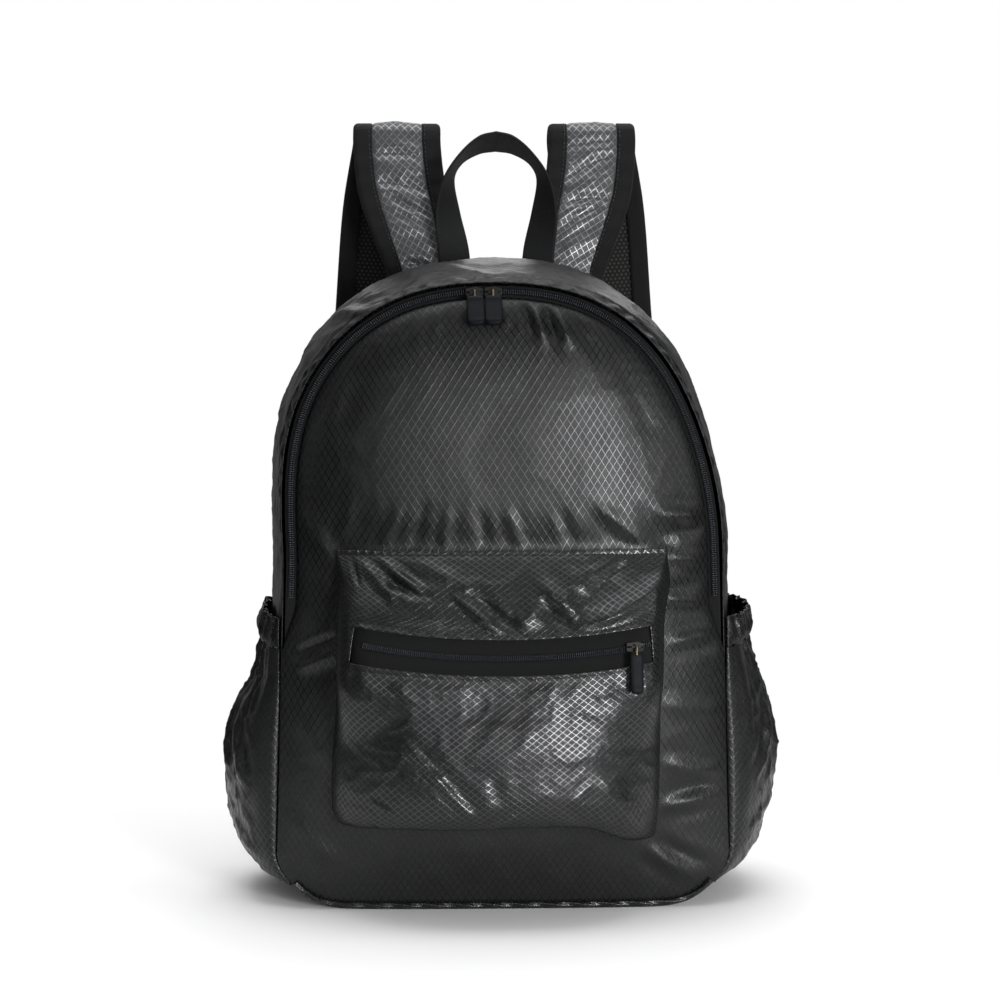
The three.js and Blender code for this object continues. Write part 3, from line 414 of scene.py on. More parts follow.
def ripstop(name, wide, high, **own):
    finish = {**ripstopFinish, **own}
    color, roughness = finish["color"], finish["roughness"]
    material, tree, shader = newMaterial(name, roughness, 0.26)
    coords, s, t = clothCoords(tree)
    yarns = diamondYarns(tree, s, t, wide, high, finish["yarn"])
    mottle = noise(tree, coords, 55, 4, 0.6)
    cells = mixColor(tree, mottle, tuple(0.78 * c for c in color), tuple(1.22 * c for c in color))
    paint = mixColor(tree, yarns, cells, finish["yarnColor"])
    tree.links.new(paint, shader.inputs["Base Color"])
    metal = mathNode(tree, "MULTIPLY", yarns, finish["yarnMetal"])
    tree.links.new(metal, shader.inputs["Metallic"])
    rough = mapRange(tree, mottle, 0.3, 0.7, roughness - 0.04, roughness + 0.05)
    step = mathNode(tree, "SUBTRACT", finish["yarnRoughness"], rough)
    spread = mathNode(tree, "MULTIPLY_ADD", yarns, step, rough)
    tree.links.new(spread, shader.inputs["Roughness"])
    threadsS = mathNode(tree, "SINE", mathNode(tree, "MULTIPLY", s, 2 * math.pi / (finish["weave"] * metres)))
    threadsT = mathNode(tree, "SINE", mathNode(tree, "MULTIPLY", t, 2 * math.pi / (finish["weave"] * metres)))
    weave = mathNode(tree, "MULTIPLY", threadsS, threadsT)
    creases = noise(tree, coords, 160, 3, 0.55)
    height = mathNode(tree, "MULTIPLY_ADD", yarns, 0.6, mathNode(tree, "MULTIPLY", weave, 0.10))
    height = mathNode(tree, "MULTIPLY_ADD", creases, finish["crinkle"] * 4, height)
    bump(tree, shader, height, 0.55, 0.00016)
    return material


frontRipstop = ripstop("ripstop_front", 5.0, 8.0)
pocketRipstop = ripstop("ripstop_pocket", 5.7, 4.3, yarnColor=(0.062, 0.063, 0.065))
sideRipstop = ripstop("ripstop_side", 5.4, 6.0, yarnColor=(0.055, 0.056, 0.058), yarnRoughness=0.26)
hemRipstop = ripstop("ripstop_hem", 4.6, 4.2, crinkle=0.4)
topRipstop = ripstop("ripstop_top", 5.2, 6.4, yarnColor=(0.010, 0.010, 0.0105), roughness=0.44, yarnRoughness=0.3)
strapRipstop = ripstop(
    "ripstop_strap", 5.4, 6.2, color=(0.048, 0.049, 0.051), yarnColor=(0.18, 0.183, 0.188), crinkle=0.1,
    roughness=0.42, yarnRoughness=0.36
)


# Woven webbing: rows of little slanting yarns along its length
def webbing(name, color, pitch=1.1, rough=0.62):
    material, tree, shader = newMaterial(name, rough, 0.2, sheen=0.03)
    coords, s, t = clothCoords(tree)
    across = mathNode(tree, "MULTIPLY", s, 2 * math.pi / (pitch * metres))
    along = mathNode(tree, "MULTIPLY", t, 2 * math.pi / (0.75 * pitch * metres))
    ribs = mathNode(tree, "SINE", across)
    picks = mathNode(tree, "SINE", mathNode(tree, "MULTIPLY_ADD", ribs, 0.9, along))
    height = mathNode(tree, "ADD", mathNode(tree, "MULTIPLY", ribs, 0.35), mathNode(tree, "MULTIPLY", picks, 0.65))
    # Painted light and shade: the raised yarns of the weave are painted lighter and the hollows between them darker, on
    # top of the bump
    lit = mapRange(tree, height, -1, 1)
    fuzz = noise(tree, coords, 900, 2)
    shade = mixColor(tree, lit, tuple(0.55 * c for c in color), tuple(1.5 * c for c in color))
    paint = mixColor(tree, mapRange(tree, fuzz, 0.55, 0.8), shade, tuple(2.2 * c for c in color))
    tree.links.new(paint, shader.inputs["Base Color"])
    bump(tree, shader, mathNode(tree, "ADD", height, fuzz), 0.5, 0.0002)
    return material


webbingBlack = webbing("webbing_black", (0.0042, 0.0044, 0.005))
bindingTape = webbing("binding_tape", (0.0030, 0.0031, 0.0034), pitch=0.8, rough=0.8)
zipKnit = webbing("zip_tape_knit", (0.0026, 0.0027, 0.003), pitch=0.7, rough=0.75)
elasticHem = ripstop("ripstop_gathered", 4.8, 5.2, crinkle=0.6)


# Spacer mesh: a honeycomb of holes in a soft black knit
def spacerMesh(name):
    pitch = 3.1  # mm between the holes of the knit
    material, tree, shader = newMaterial(name, 0.8, 0.2, sheen=0.06)
    coords, s, t = clothCoords(tree)
    rows = mathNode(tree, "DIVIDE", t, 0.5 * pitch * metres * math.sqrt(3))
    row = mathNode(tree, "FLOOR", rows)
    shift = mathNode(tree, "MULTIPLY", mathNode(tree, "FLOORED_MODULO", row, 2.0), 0.5)
    cell = mathNode(tree, "ADD", mathNode(tree, "DIVIDE", s, pitch * metres), shift)
    dx = mathNode(tree, "MULTIPLY", mathNode(tree, "SUBTRACT", mathNode(tree, "FRACT", cell), 0.5), 2.0)
    dy = mathNode(tree, "MULTIPLY", mathNode(tree, "SUBTRACT", mathNode(tree, "FRACT", rows), 0.5), 1.73)
    reach = mathNode(tree, "SQRT", mathNode(tree, "ADD", mathNode(tree, "POWER", mathNode(tree, "ABSOLUTE", dx), 2.0),
                                            mathNode(tree, "POWER", mathNode(tree, "ABSOLUTE", dy), 2.0)))
    knit = mapRange(tree, reach, 0.42, 0.72)
    fuzz = noise(tree, coords, 1400, 2)
    paint = mixColor(tree, knit, (0.030, 0.029, 0.027), (0.0040, 0.0040, 0.0042))
    tree.links.new(paint, shader.inputs["Base Color"])
    bump(tree, shader, mathNode(tree, "MULTIPLY_ADD", fuzz, 0.3, knit), 0.9, 0.0006)
    return material


padMesh = spacerMesh("spacer_mesh")


# Smooth moulded or metal finishes, with fine grain and random patches of wear
def moulded(name, color, roughness, specular, metallic=0.0, grain=600):
    material, tree, shader = newMaterial(name, roughness, specular)
    shader.inputs["Metallic"].default_value = metallic
    coords = tree.nodes.new("ShaderNodeTexCoord").outputs["Object"]
    speckle = noise(tree, coords, grain, 3)
    wear = noise(tree, coords, 90, 4, 0.6)
    paint = mixColor(tree, wear, tuple(0.8 * c for c in color), tuple(1.25 * c for c in color))
    tree.links.new(paint, shader.inputs["Base Color"])
    tree.links.new(mapRange(tree, wear, 0.3, 0.7, roughness - 0.05, roughness + 0.08), shader.inputs["Roughness"])
    bump(tree, shader, speckle, 0.25, 0.00008)
    return material


pullRubber = moulded("pull_rubber", (0.0030, 0.0036, 0.0050), 0.5, 0.08, grain=900)
sliderPaint = moulded("slider_paint", (0.0060, 0.0055, 0.0050), 0.45, 0.12)
bronzeWire = moulded("bronze_wire", (0.42, 0.32, 0.2), 0.28, 0.5, metallic=1.0)
coilNylon = moulded("coil_nylon", (0.009, 0.0104, 0.0132), 0.34, 0.4, grain=1500)
lockPlastic = moulded("lock_plastic", (0.010, 0.0101, 0.0107), 0.40, 0.45)


def threadMaterial():
    material, tree, shader = newMaterial("sewing_thread", 0.6, 0.35, sheen=0.1)
    coords = tree.nodes.new("ShaderNodeTexCoord").outputs["Object"]
    twist = noise(tree, coords, 2500, 2)
    paint = mixColor(tree, twist, (0.010, 0.010, 0.011), (0.032, 0.032, 0.034))
    tree.links.new(paint, shader.inputs["Base Color"])
    bump(tree, shader, twist, 0.5, 0.0001)
    return material


thread = threadMaterial()
print("materials ready")

# The body's outline and how it settles on its base
bag = {
    "baseHalfWidth": 149,
    "waistHalfWidth": 143.5,
    "shoulderHeight": 235,
    "bodyHeight": 411,
    "archPower": 2.4,
    "baseCorner": 34,
    "frontSeam": -62,
    "backSeam": 72,
    "flatHalfWidth": 90,
    "cornerLift": 9,
    "liftReach": 90,
    "seamGap": 0.4,
    "clothWall": 1.5,
    "lean": 6.5,
    "leanFrom": 225,
    "leanTo": 345,
}
cornerStart, cornerMiddle, sideStart, archStart, crownStation = 4, 6, 8, 14, 26
lastStation = 2 * crownStation


# The arch leans to the left above the shoulders
def leanAt(z):
    return -bag["lean"] * smooth(z, bag["leanFrom"], bag["leanTo"])


def outline(station, inset=0.0):
    h = np.minimum(station, lastStation - station)
    base = bag["baseHalfWidth"] - inset
    waist = bag["waistHalfWidth"] - inset
    corner = bag["baseCorner"] - inset
    low = np.clip((h - cornerStart) / (sideStart - cornerStart), 0, 1) * np.pi / 2
    t = np.clip((h - sideStart) / (archStart - sideStart), 0, 1)
    high = np.clip((h - archStart) / (crownStation - archStart), 0, 1) * np.pi / 2
    power = 2 / bag["archPower"]
    rise = bag["bodyHeight"] - inset - bag["shoulderHeight"]
    parts = [h <= cornerStart, h <= sideStart, h <= archStart]
    x = np.select(
        parts,
        [(base - corner) * h / cornerStart, base - corner + corner * np.sin(low), lerp(base, waist, t)],
        waist * np.maximum(np.cos(high), 0) ** power,
    )
    z = np.select(
        parts,
        [inset + 0 * h, bag["baseCorner"] - corner * np.cos(low), lerp(bag["baseCorner"], bag["shoulderHeight"], t)],
        bag["shoulderHeight"] + rise * np.sin(high) ** power,
    )
    return np.where(station <= crownStation, x, -x) + leanAt(z), z


def wrapped(station):
    return np.where(station < 0, station + lastStation, station)


def sideStation(z):
    corner = bag["baseCorner"]
    turn = np.arccos(np.clip(1 - z / corner, -1, 1)) / (np.pi / 2)
    side = lerp(sideStart, archStart, (z - corner) / (bag["shoulderHeight"] - corner))
    return np.where(z < corner, lerp(cornerStart, sideStart, turn), side)


def settled(points):
    out = smooth(np.abs(points[..., 0]), bag["flatHalfWidth"], bag["baseHalfWidth"]) ** 2
    fade = np.maximum(0, 1 - points[..., 2] / bag["liftReach"]) ** 2
    points[..., 2] += bag["cornerLift"] * out * fade
    return points


# The main zip: its band round the arch, its tape and its coil
mainZip = {
    "band": 9.5,
    "tapeWidth": 12,
    "tapeInset": 2,
    "flap": 3,
    "startHeight": 165,
    "fade": 40,
    "coilWidth": 4.4,
    "coilHeight": 1.6,
    "coilInset": 5.6,
    "toothPitch": 1.45,
}
# The front panel: how far it fills out, its drawn folds and where it is crumpled
front = {
    "bulge": 30,
    "baseBow": 5,
    "columns": 186,
    "rows": 240,
    "slack": 0.9,
    "crumple": 0.35,
    "tuck": 2.2,
}
pocketTopSeam = 242
# x, z, long, wide and high in millimetres, and turn in degrees from +X
frontFolds = [
    {"x": 125, "z": 260, "long": 42, "wide": 4.0, "high": 2.2, "turn": -8},
    {"x": 124, "z": 250, "long": 41, "wide": 4.0, "high": -1.2, "turn": 7},
    {"x": 126, "z": 231, "long": 40, "wide": 3.6, "high": 2.0, "turn": -10},
    {"x": 126, "z": 217, "long": 38, "wide": 4.0, "high": -1.0, "turn": 5},
    {"x": 124, "z": 204, "long": 38, "wide": 3.4, "high": 1.6, "turn": -9},
    {"x": 126, "z": 181, "long": 36, "wide": 3.8, "high": 1.8, "turn": 7},
    {"x": 123, "z": 134, "long": 45, "wide": 4.5, "high": 1.0, "turn": -16},
    {"x": 126, "z": 94, "long": 45, "wide": 4.6, "high": 2.0, "turn": -12},
    {"x": 124, "z": 82, "long": 42, "wide": 4.2, "high": -1.2, "turn": 6},
    {"x": 124, "z": 72, "long": 47, "wide": 4.0, "high": 1.8, "turn": 7},
    {"x": 113, "z": 27, "long": 48, "wide": 4.6, "high": 2.2, "turn": -40},
    {"x": 121, "z": 34, "long": 42, "wide": 4.0, "high": -1.4, "turn": -29},
    {"x": -122, "z": 176, "long": 33, "wide": 3.6, "high": -2.4, "turn": 24},
    {"x": -120, "z": 168, "long": 31, "wide": 4.5, "high": 1.8, "turn": 25},
    {"x": -122, "z": 246, "long": 37, "wide": 6.0, "high": 1.6, "turn": -54},
    {"x": -128, "z": 121, "long": 53, "wide": 7.0, "high": 1.2, "turn": -60},
    {"x": -129, "z": 48, "long": 47, "wide": 6.0, "high": 1.4, "turn": -43},
    {"x": -73, "z": 256, "long": 27, "wide": 3.4, "high": 1.0, "turn": 63},
    {"x": -55, "z": 257, "long": 27, "wide": 3.6, "high": -1.0, "turn": 74},
    {"x": -38, "z": 255, "long": 26, "wide": 3.2, "high": 0.8, "turn": 83},
    {"x": -14, "z": 254, "long": 23, "wide": 3.4, "high": -0.8, "turn": -82},
    {"x": 6, "z": 254, "long": 26, "wide": 3.2, "high": 0.9, "turn": -70},
    {"x": 40, "z": 255, "long": 24, "wide": 3.4, "high": -0.8, "turn": -68},
    {"x": 75, "z": 256, "long": 39, "wide": 4.2, "high": 1.3, "turn": -41},
    {"x": 97, "z": 255, "long": 37, "wide": 4.6, "high": -1.1, "turn": -55},
    {"x": -101, "z": 259, "long": 31, "wide": 4.0, "high": 0.8, "turn": 78},
    {"x": 15, "z": 390, "long": 21, "wide": 2.8, "high": -2.2, "turn": -78},
    {"x": 22, "z": 388, "long": 25, "wide": 3.0, "high": 2.0, "turn": -76},
    {"x": 30, "z": 386, "long": 28, "wide": 3.0, "high": -2.2, "turn": -74},
    {"x": 38, "z": 385, "long": 28, "wide": 3.2, "high": 2.0, "turn": -70},
    {"x": 50, "z": 382, "long": 30, "wide": 3.4, "high": -1.2, "turn": -63},
    {"x": 1, "z": 392, "long": 16, "wide": 2.4, "high": 1.0, "turn": -82},
    {"x": -41, "z": 392, "long": 22, "wide": 3.0, "high": 1.0, "turn": 74},
    {"x": -59, "z": 387, "long": 25, "wide": 3.2, "high": -1.0, "turn": 62},
    {"x": 97, "z": 342, "long": 49, "wide": 6.0, "high": 1.2, "turn": -65},
    {"x": -110, "z": 339, "long": 40, "wide": 6.0, "high": 1.2, "turn": 64},
]
bellyHeight = 0.36 * bag["bodyHeight"]


def zippedAt(z):
    return smooth(z, mainZip["startHeight"], mainZip["startHeight"] + mainZip["fade"])


def panelHalfWidth(z):
    corner = bag["baseCorner"]
    fall = corner - np.clip(z, 0, corner)
    low = bag["baseHalfWidth"] - corner + np.sqrt(corner**2 - fall**2)
    inset = mainZip["band"] * zippedAt(z)
    t = (z - corner) / (bag["shoulderHeight"] - corner)
    side = lerp(bag["baseHalfWidth"], bag["waistHalfWidth"], t) - inset
    rise = np.clip((z - bag["shoulderHeight"]) / (bag["bodyHeight"] - inset - bag["shoulderHeight"]), 0, 1)
    arch = (bag["waistHalfWidth"] - inset) * (1 - rise ** bag["archPower"]) ** (1 / bag["archPower"])
    return np.select([z < corner, z < bag["shoulderHeight"]], [low, side], arch)


def frontShare(x, z):
    width = np.maximum(panelHalfWidth(z), 1e-6)
    across = (1 - np.minimum(np.abs(x - leanAt(z)) / width, 1) ** 3.2) ** 0.8
    above = (z - bellyHeight) / (bag["bodyHeight"] - mainZip["band"] - bellyHeight)
    high = (1 - np.clip(above, 0, 1) ** 3.4) ** 0.65
    low = lerp(front["baseBow"] / front["bulge"], 1, 1 - (1 - np.clip(z / bellyHeight, 0, 1)) ** 2)
    return across * np.where(above > 0, high, low)


# Under the pocket the panel is hidden, and stays plain
def underPocket(x, z):
    return smooth(-np.abs(x), -112, -98) * smooth(z, 40, 56) * smooth(-z, -244, -232)


def frontRelief(x, z):
    edge = np.maximum(panelHalfWidth(z) - np.abs(x - leanAt(z)), 0)
    slack = front["slack"] * (softNoise(x / 62, z / 84, 11) + 0.6 * softNoise(x / 30, z / 44, 12))
    nearEdge = 0.35 + 0.65 * np.exp(-edge / 34) + 0.35 * np.exp(-np.abs(z - 256) / 16)
    ridges = front["crumple"] * crumple(x, z, 26, 21) + 0.4 * front["crumple"] * crumple(x, z, 12, 25)
    tuck = front["tuck"] * np.exp(-(((z - pocketTopSeam) / 15) ** 2)) * smooth(-np.abs(x), -124, -96)
    puckers = 0.45 * np.exp(-edge / 7) * np.sin(0.9 * z + 3.0 * softNoise(z / 20, x / 60, 31))
    return foldsAt(frontFolds, x, z) + slack + nearEdge * ridges + puckers * smooth(z, 150, 210) - tuck


def frontFill(x, z, relief):
    share = frontShare(x, z)
    fill = front["bulge"] * share
    if relief:
        fill = fill + smooth(share, 0.02, 0.4) * frontRelief(x, z) * (1 - 0.8 * underPocket(x, z))
    return fill


def frontSkin(x, z, relief=True):
    return bag["frontSeam"] - bag["clothWall"] - bag["seamGap"] - frontFill(x, z, relief)


def frontEdge(x, z):
    return np.where(z < bag["baseCorner"], bag["frontSeam"] - frontFill(x, z, False), bag["frontSeam"])


# A patch that fills the outline between four corner stations
def filled(u, v, edge):
    right = edge(lerp(cornerMiddle, crownStation - cornerMiddle, v))
    left = edge(lerp(lastStation - cornerMiddle, crownStation + cornerMiddle, v))
    top = edge(lerp(crownStation + cornerMiddle, crownStation - cornerMiddle, u))
    bottom = edge(wrapped(lerp(-cornerMiddle, cornerMiddle, u)))
    corners = [edge(np.float64(station)) for station in (
        lastStation - cornerMiddle, cornerMiddle, crownStation + cornerMiddle, crownStation - cornerMiddle)]
    made = []
    for k in (0, 1):
        low = lerp(corners[0][k], corners[1][k], u)
        high = lerp(corners[2][k], corners[3][k], u)
        made.append(lerp(bottom[k], top[k], v) + lerp(left[k], right[k], u) - lerp(low, high, v))
    return made


# Lengths over a height field, so that the weave keeps its size where the panel turns away
def lengthsOver(depth, x, z, half, height):
    xs = np.linspace(-half, half, 241)
    zs = np.linspace(0, height, 321)
    field = depth(xs[None, :] + 0 * zs[:, None], zs[:, None] + 0 * xs[None, :])
    stepX = np.hypot(np.diff(field, axis=1), np.diff(xs)[None, :])
    stepZ = np.hypot(np.diff(field, axis=0), np.diff(zs)[:, None])
    runX = summed(stepX)
    runX -= runX[:, [len(xs) // 2]]
    runZ = np.concatenate([np.zeros((1, len(xs))), np.cumsum(stepZ, axis=0)], axis=0)
    i = np.clip((x + half) / (xs[1] - xs[0]), 0, len(xs) - 1.001)
    j = np.clip(z / (zs[1] - zs[0]), 0, len(zs) - 1.001)
    i0, j0 = i.astype(int), j.astype(int)
    fi, fj = i - i0, j - j0

    def read(table):
        low = lerp(table[j0, i0], table[j0, i0 + 1], fi)
        return lerp(low, lerp(table[j0 + 1, i0], table[j0 + 1, i0 + 1], fi), fj)

    return read(runX), read(runZ)


def plainDepth(x, z):
    return front["bulge"] * frontShare(x, z)


def buildFrontPanel():
    u, v = grid(front["columns"], front["rows"])
    x, z = filled(u, v, lambda station: outline(station, mainZip["band"] * zippedAt(outline(station)[1])))
    points = settled(vector(x, frontSkin(x, z), z))
    lengths = lengthsOver(plainDepth, x, z, bag["baseHalfWidth"], bag["bodyHeight"])
    panel = sheet("front_panel_cloth", points, lengths, frontRipstop)
    finishPiece(panel, "ripstop_cloth", "front_panel")


buildFrontPanel()
print("front panel sewn")


# The side and top wall, with the rolled hem that hangs over the zip
wall = {
    "sideBulge": 7.5,
    "crownBulge": 13.5,
    "columns": 74,
    "rows": 460,
    "slack": 2.2,
    "crumple": 0.7,
    "hemWidth": 8.5,
    "hemRuffle": 0.9,
    "hemRise": 0.7,
}
wallFolds = [
    {"x": 34, "z": 606, "long": 70, "wide": 5, "high": 1.8, "turn": 20},
    {"x": 60, "z": 640, "long": 80, "wide": 6, "high": 1.5, "turn": -14},
    {"x": 30, "z": 520, "long": 60, "wide": 5, "high": 1.7, "turn": 36},
    {"x": 40, "z": 690, "long": 60, "wide": 5, "high": 1.7, "turn": -30},
]


def wallBulge(station):
    h = np.minimum(station, lastStation - station)
    side = wall["sideBulge"] * smooth(h, cornerMiddle, archStart - 2)
    crown = lerp(wall["sideBulge"], wall["crownBulge"], smooth(h, archStart, crownStation))
    return np.where(h <= archStart, side, crown)


def wallSkin(share, station, flap=True):
    x, z = outline(station)
    ahead = outline(station + 0.05)
    behind = outline(station - 0.05)
    outward = unit(vector(ahead[1] - behind[1], 0, behind[0] - ahead[0]))
    flapFrom = mainZip["startHeight"] + mainZip["fade"]
    over = mainZip["flap"] * smooth(z, flapFrom, flapFrom + mainZip["fade"]) if flap else 0
    bulge = wallBulge(station) * np.maximum(np.sin(np.pi * share), 0) ** 0.8
    points = vector(x, lerp(frontEdge(x, z) - over, bag["backSeam"], share), z)
    return settled(points + outward * bulge[..., None])


def buildWall():
    u, v = grid(wall["columns"], wall["rows"])
    u = u**1.25  # closer together towards the hem
    station = lerp(cornerMiddle, lastStation - cornerMiddle, v)
    points = wallSkin(u, station)
    s, t = lengthsOn(points)
    s = s - s[:, :1]
    z = points[..., 2]
    raised = smooth(z, 190, 260)
    hem = np.exp(-((s / wall["hemWidth"]) ** 4)) * raised
    gathers = np.sin(t / 2.6 + 4 * softNoise(t / 30, s / 30, 41))
    ruffle = wall["hemRuffle"] * (gathers + 1.3 * softNoise(t / 9, s / 9, 42))
    fade = smooth(u, 0, 0.06) * smooth(1 - u, 0, 0.04)
    broad = wall["slack"] * (softNoise(s / 46, t / 80, 43) + 0.5 * softNoise(s / 24, t / 34, 44))
    ridges = wall["crumple"] * (crumple(s, t, 30, 45) + 0.5 * crumple(s, t, 14, 48))
    body = fade * (broad + ridges + foldsAt(wallFolds, s, t))
    seam = -0.9 * np.exp(-(((s - wall["hemWidth"] - 0.6) / 0.9) ** 2)) * raised
    amount = body * (1 - 0.8 * hem) + hem * (wall["hemRise"] + ruffle * smooth(s, 0, 3)) + seam
    low = smooth(z, 10, 60)
    points = pushed(points, amount * low)
    made = sheet("side_and_top_cloth", points, (s, t), topRipstop)
    finishPiece(made, "ripstop_cloth", "side_and_top")


buildWall()


# The base, its rolled front seam and the back panel
base = {"columns": 60, "rows": 150}
baseRoll = {"columns": 260, "rows": 10, "height": 4.5, "wall": 1.2, "twist": 0.5}
back = {"bulge": 7, "columns": 110, "rows": 150, "slack": 1.2}


def buildBase():
    u, v = grid(base["columns"], base["rows"])
    reach = cornerMiddle - 0.04
    x, z = outline(wrapped(lerp(-reach, reach, v)))
    points = settled(vector(x, lerp(frontEdge(x, z), bag["backSeam"], u), z))
    rise = 0.8 * (softNoise(x / 40, u * 4, 51) + 0.6) * np.sin(np.pi * u) * smooth(-np.abs(x), -140, -110)
    points[..., 2] += np.clip(rise, 0, 1)
    made = sheet("base_cloth", points, lengthsOn(points), sideRipstop)
    finishPiece(made, "ripstop_cloth", "base_panel")


def buildBaseRoll():
    u, v = grid(baseRoll["columns"], baseRoll["rows"])
    x, z = outline(wrapped(lerp(-cornerMiddle, cornerMiddle, u)), baseRoll["height"] * v)
    plump = baseRoll["wall"] * np.sin(np.pi * v) * (1 + baseRoll["twist"] * np.sin(x / 3.1 + 5 * v))
    y = frontSkin(x, z, False) - 2 * bag["seamGap"] - baseRoll["wall"] - plump
    points = settled(vector(x, y, z))
    s, t = lengthsOn(points)
    made = sheet("base_roll_cloth", points, (s + 0.6 * t, t), hemRipstop, thickness=1.1)
    finishPiece(made, "ripstop_cloth", "base_roll")


def backSkin(x, z):
    across = 1 - np.minimum(np.abs(x) / bag["waistHalfWidth"], 1) ** 2
    up = 1 - np.minimum(np.abs(2 * z - bag["bodyHeight"]) / bag["bodyHeight"], 1) ** 3
    return bag["backSeam"] + bag["clothWall"] + bag["seamGap"] + back["bulge"] * across * up


def buildBack():
    u, v = grid(back["columns"], back["rows"])
    x, z = filled(1 - u, v, outline)
    edge = np.maximum(panelHalfWidth(z) - np.abs(x), 0)
    relief = back["slack"] * (softNoise(x / 55, z / 75, 61) - 0.6) * smooth(edge, 2, 40)
    relief = relief + 0.3 * crumple(x, z, 30, 62) * smooth(edge, 2, 20)
    relief = np.minimum(relief, 0.25)
    points = settled(vector(x, backSkin(x, z) + relief, z))
    made = sheet("back_cloth", points, (-x, z), frontRipstop)
    finishPiece(made, "ripstop_cloth", "back_panel")


buildBase()
buildBaseRoll()
buildBack()
print("walls, base and back sewn")


# A band that lies in the plane of the front seam, round the arch
def zipBand(u, v, outer, width, start, y):
    station = lerp(start, lastStation - start, v)
    x, z = outline(station, outer + width * (1 - u))
    return vector(x, y, z)


# Zip teeth: one small ridge for each pair, set across the coil
def teeth(name, centres, up, pitch):
    width, height = mainZip["coilWidth"], mainZip["coilHeight"]
    across, up = unit(np.cross(up, np.gradient(centres, axis=0))), unit(up)
    along = unit(np.cross(across, up))
    profile = [(-0.36, 0.0), (-0.26, 0.75), (0.0, 1.0), (0.26, 0.75), (0.36, 0.0)]
    ends = [(-0.5, 0.35), (-0.36, 1.0), (-0.07, 1.0), (0.0, 0.72), (0.07, 1.0), (0.36, 1.0), (0.5, 0.35)]
    points, faces, uvs = [], [], []
    count = len(profile)
    for centre, a, n, f in zip(centres, across, up, along):
        first = len(points)
        for shareAcross, tall in ends:
            for shareAlong, shareUp in profile:
                points.append(centre + a * shareAcross * width + n * height * shareUp * tall + f * shareAlong * pitch)
                uvs.append((shareAcross * width, shareAlong * pitch))
        for i in range(len(ends) - 1):
            for j in range(count - 1):
                k = first + i * count + j
                faces.append((k, k + 1, k + 1 + count, k + count))
            k = first + i * count
            faces.append((k, k + count, k + 2 * count - 1, k + count - 1))
        faces.append(tuple(first + j for j in reversed(range(count))))
        last = first + (len(ends) - 1) * count
        faces.append(tuple(last + j for j in range(count)))
    return meshObject(name, points, faces, uvs, coilNylon)


# Sewing thread: a row of short raised stitches on a line of points
stitch = {"long": 2.3, "gap": 0.9, "wide": 0.42, "high": 0.32, "sunk": 0.15, "rounded": 0.35}


def stitchRow(line, normals):
    line = np.asarray(line, float)
    lengths = runOf(line)
    pitch = stitch["long"] + stitch["gap"]
    starts = np.arange(0.5 * stitch["gap"], lengths[-1] - stitch["long"], pitch)
    a, b = readAlong(starts, lengths, line), readAlong(starts + stitch["long"], lengths, line)
    n = unit(readAlong(starts + stitch["long"] / 2, lengths, np.asarray(normals, float)))
    along = unit(b - a)
    side = unit(np.cross(n, along)) * stitch["wide"] / 2
    middle = (a + b) / 2
    points, faces = [], []
    for p, q, m, w, up in zip(a, b, middle, side, n):
        first = len(points)
        sink = -stitch["sunk"] * up
        top = stitch["high"] * up
        c, d = lerp(p, m, stitch["rounded"]), lerp(q, m, stitch["rounded"])
        points += [p + sink, c - w, c + top, c + w, d - w, d + top, d + w, q + sink]
        faces += [tuple(first + i for i in f) for f in (
            (0, 1, 2), (0, 2, 3), (1, 4, 5, 2), (2, 5, 6, 3), (4, 7, 5), (5, 7, 6), (0, 3, 1), (3, 6, 4, 1), (6, 7, 4))]
    return points, faces


def stitches(name, rows):
    points, faces = [], []
    for line, normals in rows:
        rowPoints, rowFaces = stitchRow(line, normals)
        faces += [tuple(i + len(points) for i in f) for f in rowFaces]
        points += rowPoints
    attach(meshObject(name, points, faces, None, thread), "bag")


def buildMainZip():
    tapeStart = float(sideStation(np.float64(mainZip["startHeight"])))
    coilStart = float(sideStation(np.float64(mainZip["startHeight"] + mainZip["fade"])))
    u, v = grid(8, 300)
    points = zipBand(u, v, mainZip["tapeInset"], mainZip["tapeWidth"], tapeStart, bag["frontSeam"])
    made = sheet("main_zip_tape_knit", points, lengthsOn(points), zipKnit, thickness=0.9)
    finishPiece(made, "zip_tape", "main_zip_tape")
    fine = np.linspace(0, 1, 4001)
    middle = zipBand(0.5 + 0 * fine, fine, mainZip["coilInset"] - mainZip["coilWidth"] / 2, mainZip["coilWidth"],
                     coilStart, bag["frontSeam"] - 0.3)
    run = runOf(middle)
    places = np.arange(mainZip["toothPitch"], run[-1], mainZip["toothPitch"])
    centres = readAlong(places, run, middle)
    made = teeth("main_zip_teeth", centres, vector(0 * places, -1, 0), mainZip["toothPitch"])
    finishPiece(made, "zip_coil", "main_zip_coil")


buildMainZip()
print("main zip set in")


